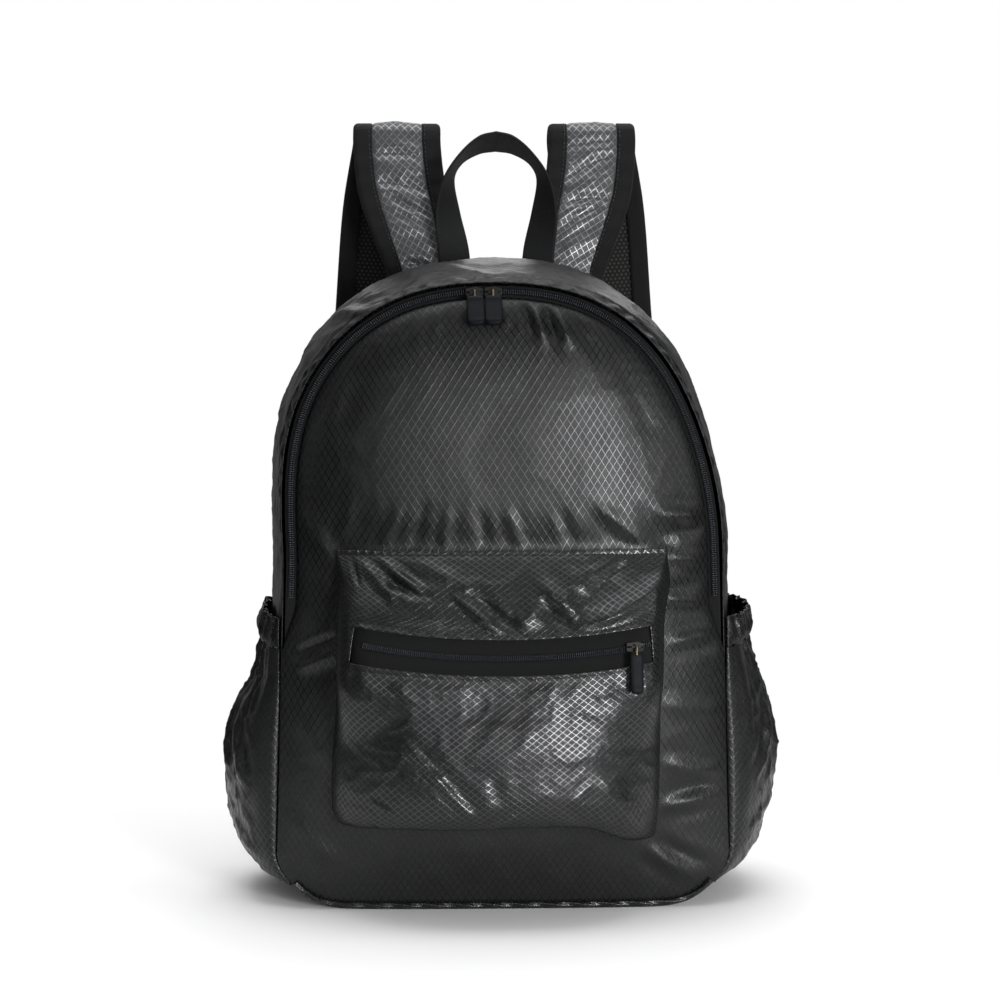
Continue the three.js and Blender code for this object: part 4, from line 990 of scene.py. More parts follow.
# The front pocket, from its bottom seam to its top seam
pocket = {
    "halfWidth": 106,
    "bottom": 66,
    "top": 240,
    "depth": 34,
    "corner": 18,
    "crown": 1.12,
    "rightDrop": 12,
    "leftDrop": 1.5,
    "middleLift": 3.0,
    "stitchedShare": 0.92,
    "stitchInset": 0.016,
    "seamStitch": 0.986,
    "zipSag": 14,
    "slotShare": 0.75,
    "gap": 0.8,
    "slot": (0.6, 0.66, 0.72),
    "columns": (44, 150, 44),
    "rows": (106, 13, 60),
    "slack": 1.3,
    "crumple": 0.55,
    "toothPitch": 1.3,
}
pocketRows = [
    {"v": 0, "up": 0, "depth": 0, "sag": 0, "wide": 0.94, "left": 1.015, "right": 0.97},
    {"v": 0.06, "up": -0.025, "depth": 0.62, "sag": 0, "wide": 0.95, "left": 1.045, "right": 0.97},
    {"v": 0.12, "up": -0.01, "depth": 1.12, "sag": 0, "wide": 0.96, "left": 1.085, "right": 0.975},
    {"v": 0.2, "up": 0.07, "depth": 1.29, "sag": 0, "wide": 0.97, "left": 1.095, "right": 0.98},
    {"v": 0.34, "up": 0.24, "depth": 1.22, "sag": 0.2, "wide": 0.98, "left": 1.075, "right": 0.975},
    {"v": 0.48, "up": 0.42, "depth": 1.1, "sag": 0.6, "wide": 0.98, "left": 1.05, "right": 0.975},
    {"v": 0.6, "up": 0.6, "depth": 0.95, "sag": 1, "wide": 0.99, "left": 1.04, "right": 0.975},
    {"v": 0.72, "up": 0.73, "depth": 0.82, "sag": 1, "wide": 0.99, "left": 1.035, "right": 0.985},
    {"v": 0.83, "up": 0.86, "depth": 0.52, "sag": 0.4, "wide": 0.995, "left": 1.03, "right": 1.02},
    {"v": 0.93, "up": 0.96, "depth": 0.17, "sag": 0, "wide": 1, "left": 1.03, "right": 1.0},
    {"v": 1, "up": 1, "depth": 0, "sag": 0, "wide": 1, "left": 1.03, "right": 1.0},
]
pocketUp = through(pocketRows, "v", "up")
pocketStand = through(pocketRows, "v", "depth")
pocketSag = through(pocketRows, "v", "sag")
pocketWide = through(pocketRows, "v", "wide")
pocketLeft = through(pocketRows, "v", "left")
pocketRight = through(pocketRows, "v", "right")
pocketFolds = [
    {"x": -83, "z": 224, "long": 33, "wide": 3.0, "high": 2.6, "turn": -48},
    {"x": -69, "z": 227, "long": 44, "wide": 2.6, "high": 3.0, "turn": -39},
    {"x": -63, "z": 217, "long": 34, "wide": 2.4, "high": -2.0, "turn": -18},
    {"x": -37, "z": 225, "long": 37, "wide": 4.0, "high": 1.4, "turn": -27},
    {"x": -17, "z": 201, "long": 40, "wide": 3.0, "high": 2.6, "turn": -38},
    {"x": -2, "z": 198, "long": 37, "wide": 3.6, "high": -2.2, "turn": -41},
    {"x": 17, "z": 205, "long": 25, "wide": 5.0, "high": 2.0, "turn": 55},
    {"x": 33, "z": 198, "long": 34, "wide": 4.0, "high": -2.6, "turn": -44},
    {"x": 37, "z": 210, "long": 34, "wide": 4.0, "high": 2.0, "turn": -38},
    {"x": 65, "z": 221, "long": 52, "wide": 6.0, "high": -3.4, "turn": 41},
    {"x": 73, "z": 203, "long": 81, "wide": 5.2, "high": 3.4, "turn": 31},
    {"x": 48, "z": 237, "long": 12, "wide": 3.0, "high": 1.2, "turn": -33},
    {"x": 62, "z": 236, "long": 18, "wide": 3.4, "high": -1.6, "turn": 30},
    {"x": -66, "z": 153, "long": 21, "wide": 1.8, "high": 0.8, "turn": -37},
    {"x": -43, "z": 97, "long": 64, "wide": 2.0, "high": 1.9, "turn": -48},
    {"x": -33, "z": 97, "long": 55, "wide": 3.4, "high": -1.0, "turn": -48},
    {"x": -6, "z": 68, "long": 27, "wide": 1.8, "high": 2.0, "turn": 36},
    {"x": -6, "z": 88, "long": 30, "wide": 4.0, "high": -1.2, "turn": -70},
    {"x": -97, "z": 229, "long": 18, "wide": 1.4, "high": -1.6, "turn": -75},
    {"x": -77, "z": 76, "long": 23, "wide": 2.0, "high": 1.0, "turn": -27},
    {"x": -81, "z": 64, "long": 16, "wide": 1.8, "high": 1.3, "turn": -42},
    {"x": -35, "z": 74, "long": 73, "wide": 4.0, "high": 0.9, "turn": 14},
    {"x": 75, "z": 75, "long": 58, "wide": 7.0, "high": 2.4, "turn": -54},
    {"x": 47, "z": 71, "long": 40, "wide": 5.0, "high": -1.2, "turn": -43},
]


# The pocket's face is a full cushion below its zip, and flatter at and above it
def pocketDome(v):
    return smooth(0.56 - v, 0, 0.2) + 0.3 * smooth(v, 0.76, 0.88)


# Its cross-section: a flat face with turned corners, or a cushion's full curve
def pocketAcross(share, half, depth, dome):
    corner = np.minimum(pocket["corner"], depth)
    flat = half - corner
    arc = corner * np.pi / 2
    run = np.abs(share) * (flat + arc + depth - corner)
    turn = np.clip(np.maximum(run - flat, 0) / np.maximum(corner, 1e-6), 0, np.pi / 2) * (corner > 1e-6)
    x = np.minimum(run, flat) + corner * np.sin(turn)
    out = depth - corner * (1 - np.cos(turn)) - np.maximum(run - flat - arc, 0)
    swing = np.abs(share) * np.pi / 2
    x = lerp(x, half * np.sin(swing) ** 0.84, dome)
    out = lerp(out, pocket["crown"] * depth * np.maximum(np.cos(swing), 0) ** 1.1, dome)
    return np.sign(share) * x, np.maximum(out, 0)


# The lower edge hangs a little at its corners and lifts between them
def pocketHem(x, v):
    drop = pocket["rightDrop"] * smooth(x, 46, 86) + pocket["leftDrop"] * smooth(-x, 60, 100)
    lift = pocket["middleLift"] * np.exp(-(((x - 20) / 42) ** 2))
    return (drop - lift) * smooth(0.34 - v, 0, 0.3)


def pocketSkin(u, v, relief=1.0):
    share = 2 * u - 1
    depth = pocket["depth"] * np.maximum(pocketStand(v), 0)
    x, out = pocketAcross(share, pocket["halfWidth"] * pocketWide(v), depth, pocketDome(v) * relief)
    x = x * lerp(1, np.where(share < 0, pocketLeft(v), pocketRight(v)), relief)
    sag = pocket["zipSag"] * pocketSag(v) * (share * share - 0.5)
    height = pocket["top"] - pocket["bottom"]
    z = pocket["bottom"] + height * pocketUp(v) + sag - relief * pocketHem(x, v)
    low, _, high = pocket["slot"]
    nearZip = smooth(v, low - 0.05, low - 0.005)
    pastZip = smooth(v, high + 0.005, high + 0.05)
    inside = smooth(out, 0.15 * pocket["depth"], 0.6 * pocket["depth"]) * smooth(1 - np.abs(share), 0.04, 0.2)
    upper = smooth(out, 0.04 * pocket["depth"], 0.3 * pocket["depth"]) * pastZip * smooth(1 - np.abs(share), 0.0, 0.1)
    mask = np.maximum(inside * (1 - nearZip), upper)
    folds = foldsAt(pocketFolds, x, z)
    slack = pocket["slack"] * (softNoise(x / 38, z / 46, 71) + 0.5 * softNoise(x / 19, z / 24, 72))
    ridges = pocket["crumple"] * (crumple(x, z, 22, 73) + 0.5 * crumple(x, z, 10, 76))
    soft = mask * (folds + slack + ridges)
    nearSeam = np.exp(-((1 - v) / 0.02)) + np.exp(-(v / 0.02))
    puckers = 0.6 * nearSeam * np.sin(1.1 * x + 3 * softNoise(x / 17, v * 9, 79))
    seat = pocket["gap"] + bag["clothWall"] * (1 - smooth(depth, 0, 3))
    y = frontSkin(x, z, False) - seat - out - relief * (soft + np.maximum(puckers, 0))
    return vector(x, y, z + relief * 1.2 * softNoise(x / 26, 3.7 * v, 83) * smooth(v, 0.94, 1))


def spaced(marks, counts):
    return np.unique(np.concatenate([np.linspace(*span) for span in zip(marks, marks[1:], counts)]))


# Lines of the mesh run along the slot's edges
def pocketGrid():
    low, _, high = pocket["slot"]
    half = pocket["slotShare"] / 2
    columns = spaced((0, 0.5 - half, 0.5 + half, 1), pocket["columns"])
    return np.meshgrid(columns, spaced((0, low, high, 1), pocket["rows"]))


def buildPocket():
    u, v = pocketGrid()
    low, _, high = pocket["slot"]
    points = pocketSkin(u, v)
    s, t = lengthsOn(points)
    lip = np.maximum(np.exp(-(((v - low) / 0.010) ** 2)), np.exp(-(((v - high) / 0.010) ** 2)))
    inSlot = smooth(-np.abs(2 * u - 1), -pocket["slotShare"] - 0.02, -pocket["slotShare"] + 0.02)
    wave = 1.0 + 0.3 * np.sin(s / 2.4 + 5 * softNoise(s / 26, v * 3, 81))
    points = pushed(points, lip * inSlot * wave)
    centreU = (u[:-1, :-1] + u[1:, 1:]) / 2
    centreV = (v[:-1, :-1] + v[1:, 1:]) / 2
    opening = (np.abs(2 * centreU - 1) < pocket["slotShare"]) & (centreV > low) & (centreV < high)
    made = sheet("front_pocket_cloth", points, (s, t), pocketRipstop, opening=opening)
    finishPiece(made, "ripstop_cloth", "front_pocket")
    normals = normalsOf(points)
    half = pocket["stitchedShare"] * pocket["slotShare"] / 2
    first, last = (np.argmin(np.abs(u[0] - 0.5 + side * half)) for side in (1, -1))
    rows = []
    for level in (low - pocket["stitchInset"], high + pocket["stitchInset"], pocket["seamStitch"]):
        row = np.argmin(np.abs(v[:, 0] - level))
        rows.append((points[row, first:last], normals[row, first:last]))
    stitches("front_pocket_stitches", rows)


def pocketBand(share, lowV, highV, sink, columns, rows):
    u, v = grid(columns, rows, (0.5 - share / 2, 0.5 + share / 2), (lowV, highV))
    skin = pocketSkin(u, v, 0.0)
    return skin - normalsOf(skin) * sink


def buildPocketZip():
    low, middle, high = pocket["slot"]
    sink = bag["clothWall"] + bag["seamGap"] + 0.3
    points = pocketBand(0.81, low - 0.03, high + 0.03, sink, 120, 12)
    made = sheet("pocket_zip_tape_knit", points, lengthsOn(points), zipKnit, thickness=0.9)
    finishPiece(made, "zip_tape", "pocket_zip_tape")
    share = pocket["slotShare"] - 0.02
    points = pocketBand(share, middle - 0.004, middle + 0.004, sink - 0.35, 600, 2)
    middleLine = points[1]
    normals = normalsOf(points)[1]
    run = runOf(middleLine)
    places = np.arange(pocket["toothPitch"], run[-1], pocket["toothPitch"])
    centres = readAlong(places, run, middleLine)
    up = unit(readAlong(places, run, normals))
    made = teeth("pocket_zip_teeth", centres, up, pocket["toothPitch"])
    finishPiece(made, "zip_coil", "pocket_zip_coil")


buildPocket()
buildPocketZip()
print("front pocket sewn")


# The side pockets, gathered by the elastic in their hems
sidePocket = {
    "foot": 9,
    "top": 172,
    "bulge": 33,
    "hemHeight": 20,
    "hemRuffle": 2.4,
    "gathers": 6,
    "gatherDepth": 1.6,
    "columns": 104,
    "rows": 132,
    "hemColumns": 150,
    "hemRows": 20,
    "stitchRows": (3, 17),
    "slack": 2.2,
    "crumple": 1.2,
}
sideRows = [
    {"v": 0, "up": 0, "out": 0, "left": 0, "right": 0},
    {"v": 0.07, "up": 0, "out": 0.28, "left": 2, "right": -2},
    {"v": 0.14, "up": 0.02, "out": 0.46, "left": 3, "right": -3},
    {"v": 0.22, "up": 0.08, "out": 0.6, "left": 2, "right": -2},
    {"v": 0.34, "up": 0.2, "out": 0.78, "left": 1, "right": 0},
    {"v": 0.48, "up": 0.4, "out": 0.95, "left": 0, "right": 1},
    {"v": 0.62, "up": 0.6, "out": 0.92, "left": -1, "right": 0},
    {"v": 0.75, "up": 0.75, "out": 0.7, "left": -4, "right": 1},
    {"v": 0.86, "up": 0.87, "out": 0.42, "left": -6, "right": 3},
    {"v": 0.94, "up": 0.94, "out": 0.25, "left": -4, "right": 4},
    {"v": 1, "up": 1, "out": 0.12, "left": -2, "right": 4},
]
sideUp = through(sideRows, "v", "up")
sideOut = through(sideRows, "v", "out")
sideOwn = {side: through(sideRows, "v", side) for side in ("left", "right")}
sideFolds = [
    {"x": -34, "z": 120, "long": 60, "wide": 4.5, "high": 2.6, "turn": 58},
    {"x": -10, "z": 116, "long": 54, "wide": 4.5, "high": 2.2, "turn": 76},
    {"x": 16, "z": 120, "long": 60, "wide": 4.6, "high": 2.4, "turn": 98},
    {"x": 40, "z": 112, "long": 56, "wide": 4.8, "high": 2.4, "turn": 118},
    {"x": -44, "z": 60, "long": 46, "wide": 5.0, "high": 1.6, "turn": 24},
    {"x": 30, "z": 56, "long": 60, "wide": 6.0, "high": 1.6, "turn": -28},
    {"x": -20, "z": 28, "long": 52, "wide": 5.0, "high": 1.6, "turn": 14},
]


def gathered(u):
    return sidePocket["gatherDepth"] * (1 - np.cos(2 * np.pi * sidePocket["gathers"] * u))


def sidePocketSkin(u, v, suffix):
    height = lerp(sidePocket["foot"], sidePocket["top"], sideUp(v))
    points = wallSkin(u, sideStation(height), flap=False)
    out = sideOut(v)
    swell = np.maximum(np.sin(np.pi * u), 0) ** 0.55
    wallThick = bag["clothWall"]
    seat = lerp(wallThick, wallThick / 3, smooth(out, 0.1, 0.6))
    stand = bag["seamGap"] + seat + 0.3 * swell + sidePocket["bulge"] * out * swell + gathered(u) * smooth(v, 0.45, 1)
    points[..., 0] += stand + sideOwn[suffix](v) * swell
    return points


def mirrored(points, side):
    if side > 0:
        return points
    flipped = points[:, ::-1].copy()
    flipped[..., 0] *= -1
    return flipped


def mirroredLengths(s, t, side):
    return (s if side > 0 else s[:, ::-1], t)


def buildSidePocket(side, suffix, seed):
    u, v = grid(sidePocket["columns"], sidePocket["rows"])
    points = sidePocketSkin(u, v, suffix)
    s, t = lengthsOn(points)
    fade = smooth(u, 0.02, 0.16) * smooth(1 - u, 0.02, 0.16) * smooth(v, 0.05, 0.2)
    pull = smooth(v, 0.5, 1.0)
    fine = 1.1 * pull * np.sin(s / 2.1 + 5 * softNoise(s / 14, t / 40, seed + 1))
    broad = sidePocket["slack"] * (softNoise(s / 34, t / 42, seed + 2) + 0.5 * softNoise(s / 17, t / 24, seed + 3))
    ridges = sidePocket["crumple"] * (crumple(s, t, 24, seed + 4) + 0.5 * crumple(s, t, 11, seed + 7))
    folds = foldsAt(sideFolds, s * side, t) * smooth(1 - v, 0.02, 0.2)
    amount = fade * (fine + broad + ridges + folds)
    points = pushed(points, np.maximum(amount, -0.5))
    made = sheet("side_pocket_cloth_" + suffix, mirrored(points, side), mirroredLengths(s, t, side), sideRipstop)
    finishPiece(made, "ripstop_cloth", "side_pocket_" + suffix)


# The elastic casing at its mouth, puckered all along
def buildSideHem(side, suffix, seed):
    u, v = grid(sidePocket["hemColumns"], sidePocket["hemRows"])
    height = sidePocket["top"] + bag["seamGap"] + sidePocket["hemHeight"] * v
    points = wallSkin(u, sideStation(height), flap=False)
    swell = np.maximum(np.sin(np.pi * u), 0) ** 0.55
    ruffle = sidePocket["hemRuffle"] * (np.sin(np.pi * v) + 0.6 * v)
    stand = sidePocket["bulge"] * sideOut(1.0) + ruffle + sideOwn[suffix](1.0) * (1 + 0.4 * v)
    points[..., 0] += bag["seamGap"] + bag["clothWall"] + 0.3 + stand * swell + gathered(u)
    s, t = lengthsOn(points)
    fade = smooth(u, 0, 0.05) * smooth(1 - u, 0, 0.05)
    pucker = np.sin(s / 1.5 + 6 * softNoise(s / 12, t / 30, seed)) * (1.1 + 0.9 * softNoise(s / 8, t / 12, seed + 1))
    frill = 1.6 * softNoise(s / 5, t / 7, seed + 2) * smooth(v, 0.4, 1)
    casing = 1.1 * np.exp(-(((v - 0.42) / 0.3) ** 4))
    points = pushed(points, fade * (0.9 * pucker + frill + casing))
    points[..., 2] += fade * 1.8 * softNoise(s / 7, t / 20, seed + 3) * v
    lengths = mirroredLengths(s * 1.5, t, side)  # the elastic draws the weave together
    made = sheet("side_hem_cloth_" + suffix, mirrored(points, side), lengths, elasticHem, thickness=0.7)
    finishPiece(made, "ripstop_cloth", "side_pocket_hem_" + suffix)
    normals = normalsOf(points)
    turn = [side, 1, 1]
    seams = [(row, slice(4, -4)) for row in sidePocket["stitchRows"]]
    stitches("side_hem_stitches_" + suffix, [(points[seam] * turn, normals[seam] * turn) for seam in seams])


for side, suffix, seed in ((1, "right", 101), (-1, "left", 141)):
    buildSidePocket(side, suffix, seed)
    buildSideHem(side, suffix, seed + 20)
print("side pockets sewn")


# The shoulder straps: where each is sewn on, folds over and ends
strap = {
    "seamX": 48,
    "foldX": 68,
    "endX": 100,
    "seamHeight": 376,
    "top": 515,
    "endHeight": 132,
    "reach": 60,
    "fold": 13,
    "width": 58,
    "faceWidth": 36,
    "narrow": 0.8,
    "padThickness": 4,
    "faceThickness": 1.2,
    "bindingThickness": 1.2,
    "layerGap": 0.3,
    "steps": 300,
    "padSteps": 200,
    "bindingSteps": 240,
    "stitched": (0.01, 0.985),
    "webbingWall": 1.6,
    "stitchInset": 1.7,
    "stitchLift": 0.42,
}
strapRising = [
    {"x": 0.12, "back": 0.12, "up": 0.32},
    {"x": 0.45, "back": 0.3, "up": 0.52},
    {"x": 0.85, "back": 0.66, "up": 0.77},
]
strapFalling = [
    {"x": 0.24, "back": 1, "down": 0.13},
    {"x": 0.42, "back": 1, "down": 0.33},
    {"x": 0.64, "back": 0.93, "down": 0.58},
    {"x": 0.84, "back": 0.76, "down": 0.83},
    {"x": 1, "back": 0.56, "down": 1},
]


def strapPoints():
    def seat(z):
        return float(backSkin(strap["seamX"], z)) + 3 * bag["seamGap"] + strap["webbingWall"]

    rim = bag["backSeam"] + bag["clothWall"] + bag["seamGap"]
    foldTop = strap["top"] - strap["fold"]
    foldMiddle = strap["reach"] - strap["fold"]
    seam = strap["seamHeight"]
    points = [(strap["seamX"], seat(seam), seam), (strap["seamX"], seat(seam + 20) + strap["layerGap"], seam + 20)]
    for row in strapRising:
        points.append((lerp(strap["seamX"], strap["foldX"], row["x"]),
                       rim + 3 + (strap["reach"] - 2 * strap["fold"] - 3) * row["back"],
                       lerp(seam, foldTop, row["up"])))
    for turn in np.linspace(np.pi, 0, 5):
        points.append((strap["foldX"], rim + foldMiddle + strap["fold"] * math.cos(turn),
                       foldTop + strap["fold"] * math.sin(turn)))
    for row in strapFalling:
        points.append((lerp(strap["foldX"], strap["endX"], row["x"]), rim + strap["reach"] * row["back"],
                       lerp(foldTop, strap["endHeight"], row["down"])))
    return np.array(points, float)


# A smooth path through points, spaced by the roots of their distances, and read by its length
pathSteps = 4000


class Path:
    def __init__(self, points):
        points = np.asarray(points, float)
        first = 2 * points[0] - points[1]
        last = 2 * points[-1] - points[-2]
        padded = np.vstack([first, points, last])
        line = []
        share = np.linspace(0, 1, pathSteps // (len(points) - 1) + 1)[:, None]
        for i in range(1, len(padded) - 2):
            p0, p1, p2, p3 = padded[i - 1 : i + 3]
            d0 = max(np.linalg.norm(p1 - p0) ** 0.5, 1e-4)
            d1 = max(np.linalg.norm(p2 - p1) ** 0.5, 1e-4)
            d2 = max(np.linalg.norm(p3 - p2) ** 0.5, 1e-4)
            m1 = ((p1 - p0) / d0 - (p2 - p0) / (d0 + d1) + (p2 - p1) / d1) * d1
            m2 = ((p2 - p1) / d1 - (p3 - p1) / (d1 + d2) + (p3 - p2) / d2) * d1
            t2, t3 = share**2, share**3
            part = (2 * t3 - 3 * t2 + 1) * p1 + (t3 - 2 * t2 + share) * m1 + (3 * t2 - 2 * t3) * p2 + (t3 - t2) * m2
            line.append(part if i == 1 else part[1:])
        self.line = np.vstack(line)
        self.lengths = runOf(self.line)
        self.length = self.lengths[-1]

    def at(self, share):
        return readAlong(np.asarray(share, float) * self.length, self.lengths, self.line)

    def along(self, share):
        share = np.asarray(share, float)
        step = 2e-4
        return unit(self.at(np.clip(share + step, 0, 1)) - self.at(np.clip(share - step, 0, 1)))


def levelAcross(along):
    across = np.array([1.0, 0, 0]) - along * along[..., :1]
    return unit(across)


strapPath = Path(strapPoints())


def strapFrame(share):
    along = strapPath.along(share)
    across = levelAcross(along)
    out = unit(np.cross(across, along))
    taper = lerp(strap["narrow"], 1, smooth(np.asarray(share, float), 0.04, 0.2))
    return strapPath.at(share), across, out, taper


# A piece of the strap: its section gives points as distances across and out, round a closed loop
def strapSheet(section, steps):
    share = np.linspace(0, 1, steps + 1)
    at, across, out, taper = strapFrame(share)
    wide = np.array([p[0] for p in section])
    deep = np.array([p[1] for p in section])
    points = at[:, None] + across[:, None] * (taper[:, None] * wide[None, :])[..., None]
    points = points + out[:, None] * np.broadcast_to(deep, (len(share), len(deep)))[..., None]
    return points


def closedBar(name, points, uvs, material):
    steps, count = points.shape[:2]
    index = np.arange(steps * count).reshape(steps, count)
    following = np.roll(index, -1, axis=1)
    quads = np.stack([index[:-1], following[:-1], following[1:], index[1:]], axis=-1).reshape(-1, 4).tolist()
    quads.append(index[0][::-1].tolist())
    quads.append(index[-1].tolist())
    return meshObject(name, points.reshape(-1, 3), quads, uvs, material)


def loopUvs(points):
    s = summed(np.linalg.norm(np.diff(points, axis=1), axis=-1))
    t = runOf(points.mean(axis=1))
    return np.stack([s, np.broadcast_to(t[:, None], s.shape)], axis=-1).reshape(-1, 2)


# Folds of the strap's cloth: x across from its middle and z along from its sewn end, in millimetres
strapFolds = {
    "left": [
        {"x": 3, "z": 124, "long": 34, "wide": 2.4, "high": -1.8, "turn": -12, "bend": -3},
        {"x": 0, "z": 101, "long": 38, "wide": 2.6, "high": -2.0, "turn": -22, "bend": -2},
        {"x": 2, "z": 84, "long": 30, "wide": 2.2, "high": -2.2, "turn": -38},
        {"x": -4, "z": 70, "long": 26, "wide": 3.4, "high": 1.3, "turn": -30},
        {"x": 3, "z": 40, "long": 34, "wide": 2.6, "high": -1.8, "turn": -24},
        {"x": 4, "z": 112, "long": 30, "wide": 3.6, "high": 1.3, "turn": -14},
    ],
    "right": [
        {"x": -2, "z": 116, "long": 36, "wide": 2.6, "high": -2.2, "turn": 34, "bend": -3},
        {"x": 4, "z": 92, "long": 40, "wide": 2.8, "high": -2.2, "turn": 14, "bend": -4},
        {"x": -2, "z": 78, "long": 34, "wide": 2.4, "high": -1.8, "turn": 44, "bend": -3},
        {"x": 2, "z": 104, "long": 34, "wide": 4.0, "high": 1.5, "turn": 24},
        {"x": 4, "z": 58, "long": 30, "wide": 3.6, "high": 1.2, "turn": 40},
        {"x": 0, "z": 132, "long": 34, "wide": 2.6, "high": -1.2, "turn": 10},
        {"x": 0, "z": 30, "long": 30, "wide": 2.6, "high": -1.2, "turn": -10},
    ],
}


def buildStrapFace(side, suffix, seed):
    half = strap["faceWidth"] / 2
    columns = 30
    wide = np.linspace(-half, half, columns + 1)
    points = strapSheet([(w, 0) for w in wide], strap["steps"])
    s, t = lengthsOn(points)
    edge = smooth(half - np.abs(s), 0, 3)
    puff = 1.5 * (1 - (s / half) ** 2)
    drawn = foldsAt(strapFolds[suffix], side * s, t)
    waves = 0.5 * np.sin(t / 8.5 + 3 * softNoise(t / 30, s / 20, seed + 1)) * smooth(t, 150, 190)
    pillow = 0.8 * softNoise(t / 21, s / 26, seed) + waves
    ridges = 0.55 * crumple(s * 0.8, t * 1.15, 17, seed + 2)
    tug = 0.5 * np.sin(t / 1.9 + 3 * softNoise(t / 15, s / 15, seed + 8)) * np.exp(-((half - np.abs(s)) / 3))
    body = edge * (0.6 + puff * 0.6 + drawn + pillow + ridges)
    points = pushed(points, body + smooth(half - np.abs(s), 0, 0.8) * tug)
    lengths = mirroredLengths(s, t, side)
    made = sheet("strap_face_cloth_" + suffix, mirrored(points, side), lengths, strapRipstop, thickness=0.9)
    finishPiece(made, "strap_ripstop", "strap_face_" + suffix)


def buildStrapPad(side, suffix):
    top = strap["faceThickness"] + strap["layerGap"]
    bottom = top + strap["padThickness"]
    half = strap["width"] / 2
    lower = [(w, -bottom - 0.5 * (1 - (w / half) ** 2)) for w in np.linspace(half, -half, 17)]
    upper = [(w, -top) for w in np.linspace(-half, half, 9)]
    section = [*upper, (half + 0.3, -(top + bottom) / 2), *lower, (-half - 0.3, -(top + bottom) / 2)]
    points = mirrored(strapSheet(section, strap["padSteps"])[:, ::-1], side)
    made = closedBar("strap_spacer_" + suffix, points, loopUvs(points), padMesh)
    finishPiece(made, "spacer_mesh", "strap_pad_" + suffix)


def buildStrapBinding(side, suffix, edge, label):
    top = strap["faceThickness"] + strap["layerGap"]
    deep = top + strap["padThickness"] + strap["layerGap"] + strap["bindingThickness"]
    reach = strap["width"] / 2 + strap["bindingThickness"] + strap["layerGap"]
    inner = strap["faceWidth"] / 2 + 2 * strap["layerGap"] - 1.0
    wrap = strap["bindingThickness"]
    outer = []
    for turn in np.linspace(0, np.pi, 9):
        outer.append((reach - deep / 2 + deep / 2 * math.sin(turn), 0.4 - (deep + 0.8) / 2 * (1 - math.cos(turn))))
    flatTop = [(w, 0.4) for w in np.linspace(inner, reach - deep / 2, 5)[:-1]]
    flatLow = [(w, -deep - 0.4) for w in np.linspace(reach - deep / 2, inner, 5)[1:]]
    inside = [(inner, -deep - 0.4 + wrap), (reach - deep / 2, -deep + wrap - 0.2)]
    inside += [(reach - wrap - 0.3, -deep / 2), (reach - deep / 2, -wrap + 0.2), (inner, 0.4 - wrap)]
    section = [*flatTop, *outer, *flatLow, *inside]
    section = [(edge * w, d) for w, d in section]
    points = strapSheet(section, strap["bindingSteps"])
    share = np.linspace(0, 1, len(points))[:, None]
    pinch = 0.25 * np.sin(share * strapPath.length / 2.3 + 4 * softNoise(share * 40, 0 * share, 171 + edge))
    points = points + strapFrame(share[:, 0])[2][:, None] * pinch[..., None]
    points = mirrored(points[:, ::edge], side)
    made = closedBar("strap_binding_tape_" + label + "_" + suffix, points, loopUvs(points), bindingTape)
    finishPiece(made, "webbing", "strap_binding_" + label + "_" + suffix)
    share = np.linspace(*strap["stitched"], 500)
    at, across, out, taper = strapFrame(share)
    turn = [side, 1, 1]
    inset = inner + strap["stitchInset"]
    line = (at + across * (taper * edge * inset)[:, None] + out * strap["stitchLift"]) * turn
    stitches("strap_binding_stitches_" + label + "_" + suffix, [(line, out * turn)])


for side, suffix, seed in ((1, "right", 201), (-1, "left", 231)):
    buildStrapFace(side, suffix, seed)
    buildStrapPad(side, suffix)
    buildStrapBinding(side, suffix, 1, "outer")
    buildStrapBinding(side, suffix, -1, "inner")
print("straps made")


# Flat webbing along a path, kept level
webbingBand = {"width": 20, "thickness": 1.5, "columns": 10, "rows": 90}


def flatWebbing(name, points, side, replaced):
    path = Path(points)
    u, v = grid(webbingBand["columns"], webbingBand["rows"])
    across = levelAcross(path.along(v[:, 0]))
    s, t = (u - 0.5) * webbingBand["width"], v * path.length
    surface = path.at(v[:, 0])[:, None] + across[:, None] * s[..., None]
    made = sheet(name, mirrored(surface, side), (s, t), webbingBlack, thickness=webbingBand["thickness"])
    finishPiece(made, "webbing", replaced)


lock = {
    "width": 28,
    "height": 26,
    "thickness": 4,
    "bar": 3.6,
    "corner": 3.2,
    "soften": 0.6,
    "slotSlack": 0.8,
    "drop": 14,
    "out": 3,
    "tail": 70,
    "clear": 1,
}
anchor = {"x": 116, "height": 42, "tabHeight": 34, "tabHalf": 17, "narrow": 0.65, "cells": 24, "stitchRow": 2}
strapThickness = strap["faceThickness"] + 2 * strap["layerGap"] + strap["padThickness"] + strap["bindingThickness"]
strapEnd = strapFrame(np.float64(1.0))
lockCentre = np.array([
    strap["endX"] + 1,
    strapEnd[0][1] - strapThickness / 2 - lock["out"],
    strap["endHeight"] - lock["drop"] - lock["height"] / 2,
])
aroundBar = lock["thickness"] / 2 + lock["clear"] + strap["webbingWall"]
overBar = lock["bar"] / 2 + lock["clear"] + strap["webbingWall"]
barCorner = 0.86


def lockLoopPoints():
    x, y, z = lockCentre
    bar = z + lock["height"] / 2 - lock["bar"] / 2
    clear = bag["seamGap"] + strap["webbingWall"]

    def onStrap(share, depth):
        at, _, out, _ = strapFrame(np.float64(share))
        return at + out * depth

    return [
        onStrap(0.97, clear),
        onStrap(1, clear),
        (x, y + aroundBar, bar + 2),
        (x, y + aroundBar * barCorner, bar - overBar * barCorner),
        (x, y, bar - overBar),
        (x, y - aroundBar * barCorner, bar - overBar * barCorner),
        (x, y - aroundBar, bar + 2),
        onStrap(1, -strapThickness - clear),
        onStrap(0.97, -strapThickness - clear),
    ]


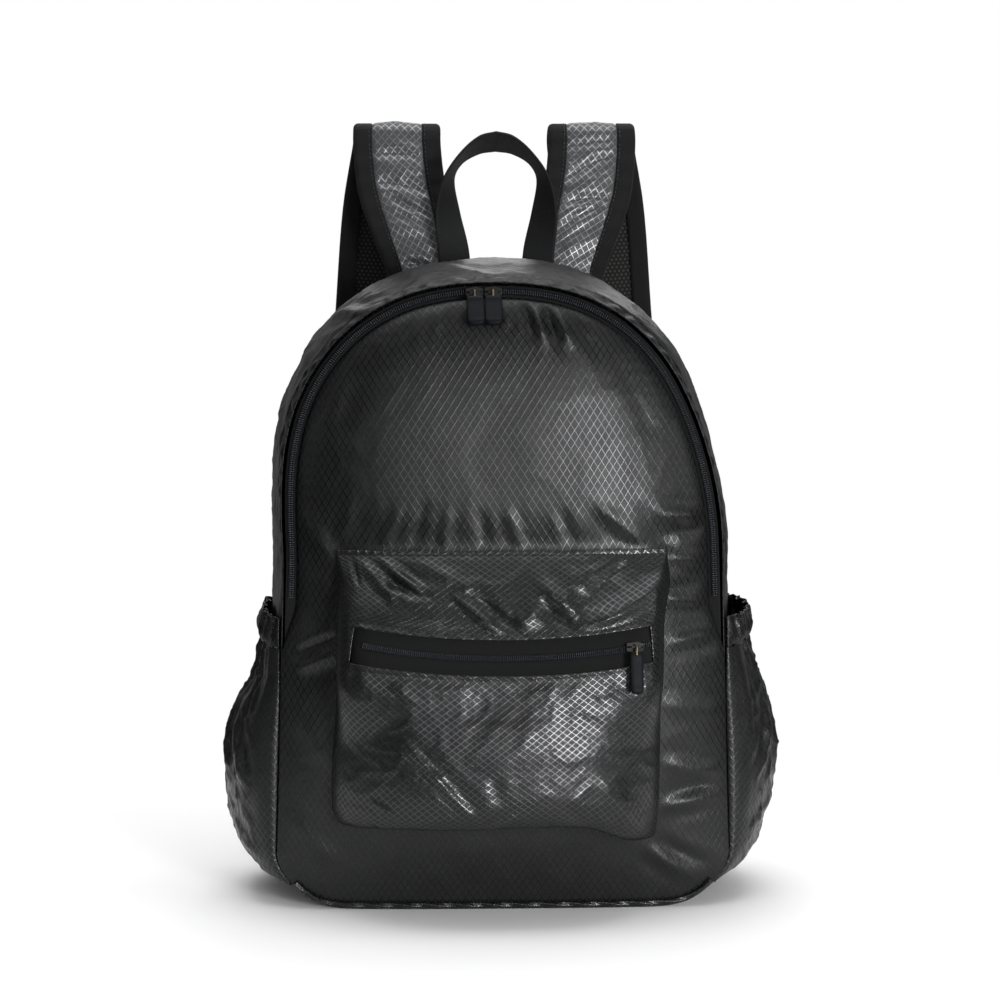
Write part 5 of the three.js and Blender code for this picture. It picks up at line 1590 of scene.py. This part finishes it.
def lowerWebbingPoints():
    x, y, z = lockCentre

    def onTab(height):
        return float(backSkin(anchor["x"], height)) + bag["clothWall"] + 2 * bag["seamGap"] + strap["layerGap"]

    halfway = lerp(anchor["height"], z, 0.55)
    low = anchor["height"] - 14
    return [
        (anchor["x"], onTab(low), low),
        (anchor["x"], onTab(anchor["height"]), anchor["height"]),
        (lerp(anchor["x"], x, 0.6), lerp(onTab(anchor["height"]), y - aroundBar, 0.7), halfway),
        (x, y - aroundBar, z - 3),
        (x, y - aroundBar * barCorner, z + overBar * barCorner),
        (x, y, z + overBar),
        (x, y + aroundBar * barCorner, z + overBar * barCorner),
        (x, y + aroundBar, z - 3),
        (x, y + aroundBar + 1, z - lock["height"]),
        (x + 1, y + aroundBar, z - lock["tail"]),
    ]


# The ladder lock: a rounded frame with a middle bar, its edges softened
def buildLock(side, suffix):
    w, h, r = lock["width"] / 2, lock["height"] / 2, lock["corner"]
    slotHalf = webbingBand["width"] / 2 + lock["slotSlack"]
    outer = []
    for cx, cz, start in ((w - r, -h + r, -90), (w - r, h - r, 0), (-w + r, h - r, 90), (-w + r, -h + r, 180)):
        for turn in np.radians(np.linspace(start, start + 90, 6)):
            outer.append((cx + r * math.cos(turn), cz + r * math.sin(turn)))
    curve = bpy.data.curves.new("lock_outline", "CURVE")
    curve.dimensions = "2D"
    curve.fill_mode = "BOTH"
    curve.extrude = (lock["thickness"] / 2 - lock["soften"]) * metres
    curve.bevel_depth = lock["soften"] * metres
    curve.bevel_resolution = 2
    curve.offset = -lock["soften"] * metres
    holes = []
    for low, high in ((-h + lock["bar"], -lock["bar"] / 2), (lock["bar"] / 2, h - lock["bar"])):
        holes.append([(-slotHalf, low), (-slotHalf, high), (slotHalf, high), (slotHalf, low)])
    for ring in [outer, *holes]:
        spline = curve.splines.new("POLY")
        spline.points.add(len(ring) - 1)
        spline.use_cyclic_u = True
        for point, (x, z) in zip(spline.points, ring):
            point.co = (x * metres, z * metres, 0, 1)
    source = bpy.data.objects.new("lock_outline", curve)
    bpy.context.scene.collection.objects.link(source)
    bpy.context.view_layer.update()
    mesh = bpy.data.meshes.new_from_object(source.evaluated_get(bpy.context.evaluated_depsgraph_get()))
    bpy.data.objects.remove(source)
    made = bpy.data.objects.new("ladder_lock_frame_" + suffix, mesh)
    bpy.context.scene.collection.objects.link(made)
    for vertex in mesh.vertices:
        x, z, y = vertex.co
        vertex.co = (side * (x + lockCentre[0] * metres), -y + lockCentre[1] * metres, z + lockCentre[2] * metres)
    if side < 0:
        mesh.flip_normals()
    mesh.materials.clear()
    mesh.materials.append(lockPlastic)
    finishPiece(made, "lock_plastic", "ladder_lock_" + suffix)


def anchorSkin(u, v):
    x = anchor["x"] + (1 - 2 * u) * lerp(anchor["tabHalf"], anchor["narrow"] * anchor["tabHalf"], v)
    z = anchor["height"] + anchor["tabHeight"] * (v - 0.65)
    return settled(vector(x, backSkin(x, z) + bag["clothWall"] + bag["seamGap"], z))


def buildAnchorTab(side, suffix):
    u, v = grid(anchor["cells"], anchor["cells"])
    points = anchorSkin(u, v)
    s, t = lengthsOn(points)
    rim = np.minimum.reduce([u, 1 - u, v, 1 - v])
    points = pushed(points, 0.25 * crumple(s, t, 9, 301) - 0.25 * np.exp(-(((rim - 0.09) / 0.03) ** 2)))
    lengths = mirroredLengths(s, t, side)
    made = sheet("anchor_tab_cloth_" + suffix, mirrored(points, side), lengths, hemRipstop, thickness=1.2)
    finishPiece(made, "ripstop_cloth", "anchor_tab_" + suffix)
    normals = normalsOf(points)
    turn = [side, 1, 1]
    rim = anchor["stitchRow"]
    seams = [(slice(rim, -rim), rim), (slice(rim, -rim), -rim - 1), (rim, slice(rim, -rim))]
    stitches("anchor_tab_stitches_" + suffix, [(points[seam] * turn, normals[seam] * turn) for seam in seams])


for side, suffix in ((1, "right"), (-1, "left")):
    flatWebbing("lock_loop_webbing_" + suffix, lockLoopPoints(), side, "lock_loop_" + suffix)
    flatWebbing("lower_webbing_" + suffix, lowerWebbingPoints(), side, "strap_webbing_" + suffix)
    buildLock(side, suffix)
    buildAnchorTab(side, suffix)
print("locks and lower webbing made")


# The haul loop, half of it from its sewn end to its top
haul = {
    "width": 22,
    "top": 502,
    "seamHeight": 382,
    "halfSpan": 28,
    "lean": 5,
    "columns": 14,
    "rows": 240,
    "sewnRows": 20,
}
haulRows = [
    {"t": 0, "x": 1, "up": 0, "turn": 0, "drop": 0},
    {"t": 0.14, "x": 1, "up": 0.14, "turn": 0, "drop": 0},
    {"t": 0.32, "x": 1.04, "up": 0.37, "turn": 14, "drop": 0},
    {"t": 0.5, "x": 1.17, "up": 0.6, "turn": 42, "drop": 0},
    {"t": 0.66, "x": 1.13, "up": 0.79, "turn": 72, "drop": 6},
    {"t": 0.78, "x": 0.84, "up": 0.905, "turn": 88, "drop": 20},
    {"t": 0.9, "x": 0.4, "up": 0.98, "turn": 90, "drop": 32},
    {"t": 1, "x": 0, "up": 1, "turn": 90, "drop": 36},
]
haulCurves = {key: through(haulRows, "t", key) for key in ("x", "up", "turn", "drop")}


def haulSkin(u, v):
    half = 1 - np.abs(2 * v - 1)
    side = np.where(v < 0.5, -1, 1)
    turn = np.radians(haulCurves["turn"](half))
    drop = np.radians(haulCurves["drop"](half))
    across = vector(-side * np.cos(turn), np.sin(turn) * np.cos(drop), -np.sin(turn) * np.sin(drop))
    x = side * haul["halfSpan"] * haulCurves["x"](half)
    z = lerp(haul["seamHeight"], haul["top"], haulCurves["up"](half))
    y = backSkin(x, z) + 2 * bag["seamGap"] + haul["lean"] * smooth(half, 0.3, 0.9)
    return vector(x, y, z) + across * ((u - 0.5) * haul["width"])[..., None]


def buildHaulLoop():
    u, v = grid(haul["columns"], haul["rows"])
    points = haulSkin(u, v)
    run = runOf(points[:, haul["columns"] // 2])
    lengths = ((u - 0.5) * haul["width"], run[:, None] + 0 * u)
    made = sheet("haul_loop_webbing", points, lengths, webbingBlack, thickness=webbingBand["thickness"])
    finishPiece(made, "webbing", "haul_loop")
    normals = normalsOf(points)
    sewn = haul["sewnRows"]
    seams = [(end, edge) for end in (slice(None, sewn), slice(-sewn, None)) for edge in (2, -3)]
    stitches("haul_loop_stitches", [(points[seam], normals[seam]) for seam in seams])


buildHaulLoop()
print("haul loop sewn on")


# The pulls: a rounded rubber grip on each wire link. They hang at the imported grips' places.
mainGrip = {"width": 11.5, "length": 22.5, "thick": 4.4}
grips = {
    "main_pull_grip_left": {"name": "main_grip_left", "body": "main_pull_left", **mainGrip},
    "main_pull_grip_right": {"name": "main_grip_right", "body": "main_pull_right", **mainGrip},
    "pocket_pull_grip": {"name": "pocket_grip", "body": "pocket_pull", "width": 8.6, "length": 27, "thick": 3.6},
}
gripTop = 3.4


def buildGrip(node, jointName, out, tilt):
    facts = grips[node]
    joint = next(j for j in frame["joints"] if j["name"] == jointName)
    along = unit(-np.array(joint["axis"], float))
    out = unit(np.array(out, float) - along * np.dot(out, along))
    back = -out
    up = np.cross(along, back)
    lean = math.radians(-tilt)
    backTurned = back * math.cos(lean) + up * math.sin(lean)
    upTurned = up * math.cos(lean) - back * math.sin(lean)
    centre = np.array(joint["pos_m"], float) / metres
    turns = np.linspace(0, 2 * np.pi, 33)[:-1]
    rings, uvs = [], []
    half, thick, length = facts["width"] / 2, facts["thick"] / 2, facts["length"]
    for share in np.concatenate([[0.0, 0.008, 0.03], np.linspace(0.07, 0.9, 16), [0.95, 0.98, 0.995, 1.0]]):
        end = max(1 - share / 0.05, 0)
        foot = max((share - 0.84) / 0.16, 0)
        wide = half * (1 - 0.28 * end**2) * max(1 - foot**2.6, 0.02) ** 0.5
        deep = thick * (1 - 0.45 * end**2) * max(1 - foot**3.2, 0.02) ** 0.5 * (0.86 + 0.14 * smooth(share, 0.2, 0.7))
        z = -gripTop - share * length
        ring = []
        for turn in turns:
            c, s = math.cos(turn), math.sin(turn)
            x = wide * math.copysign(abs(c) ** 0.55, c)
            y = deep * math.copysign(abs(s) ** 0.7, s)
            if 0.1 < share < 0.9 and abs(c) < 0.75:
                y *= 1 - 0.12 * smooth(share, 0.1, 0.2) * smooth(-share, -0.9, -0.8)
            ring.append(centre + along * x + backTurned * y + upTurned * z)
            uvs.append((x, z))
        rings.append(ring)
    rings = np.array(rings)[:, ::-1] if np.dot(np.cross(along, backTurned), upTurned) > 0 else np.array(rings)
    made = closedBar(facts["name"], rings, np.array(uvs), pullRubber)
    finishPiece(made, "pull_rubber", node, body=facts["body"])


buildGrip("main_pull_grip_left", "main_pull_left_swing", (0, -1, 0), 38)
buildGrip("main_pull_grip_right", "main_pull_right_swing", (0, -1, 0), 38)
pocketAt = pocketBand(0.66, 0.64, 0.68, 0, 100, 4)
pocketOut = normalsOf(pocketAt)[2, 99]
buildGrip("pocket_pull_grip", "pocket_pull_swing", pocketOut, 3)

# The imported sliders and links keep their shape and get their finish
for finish, kept in (
    (sliderPaint, ("main_slider_left", "main_slider_right", "pocket_slider")),
    (bronzeWire, ("main_pull_link_left", "main_pull_link_right", "pocket_pull_link")),
):
    for name in kept:
        nodes[name].data.materials.clear()
        nodes[name].data.materials.append(finish)
print("pulls hung")
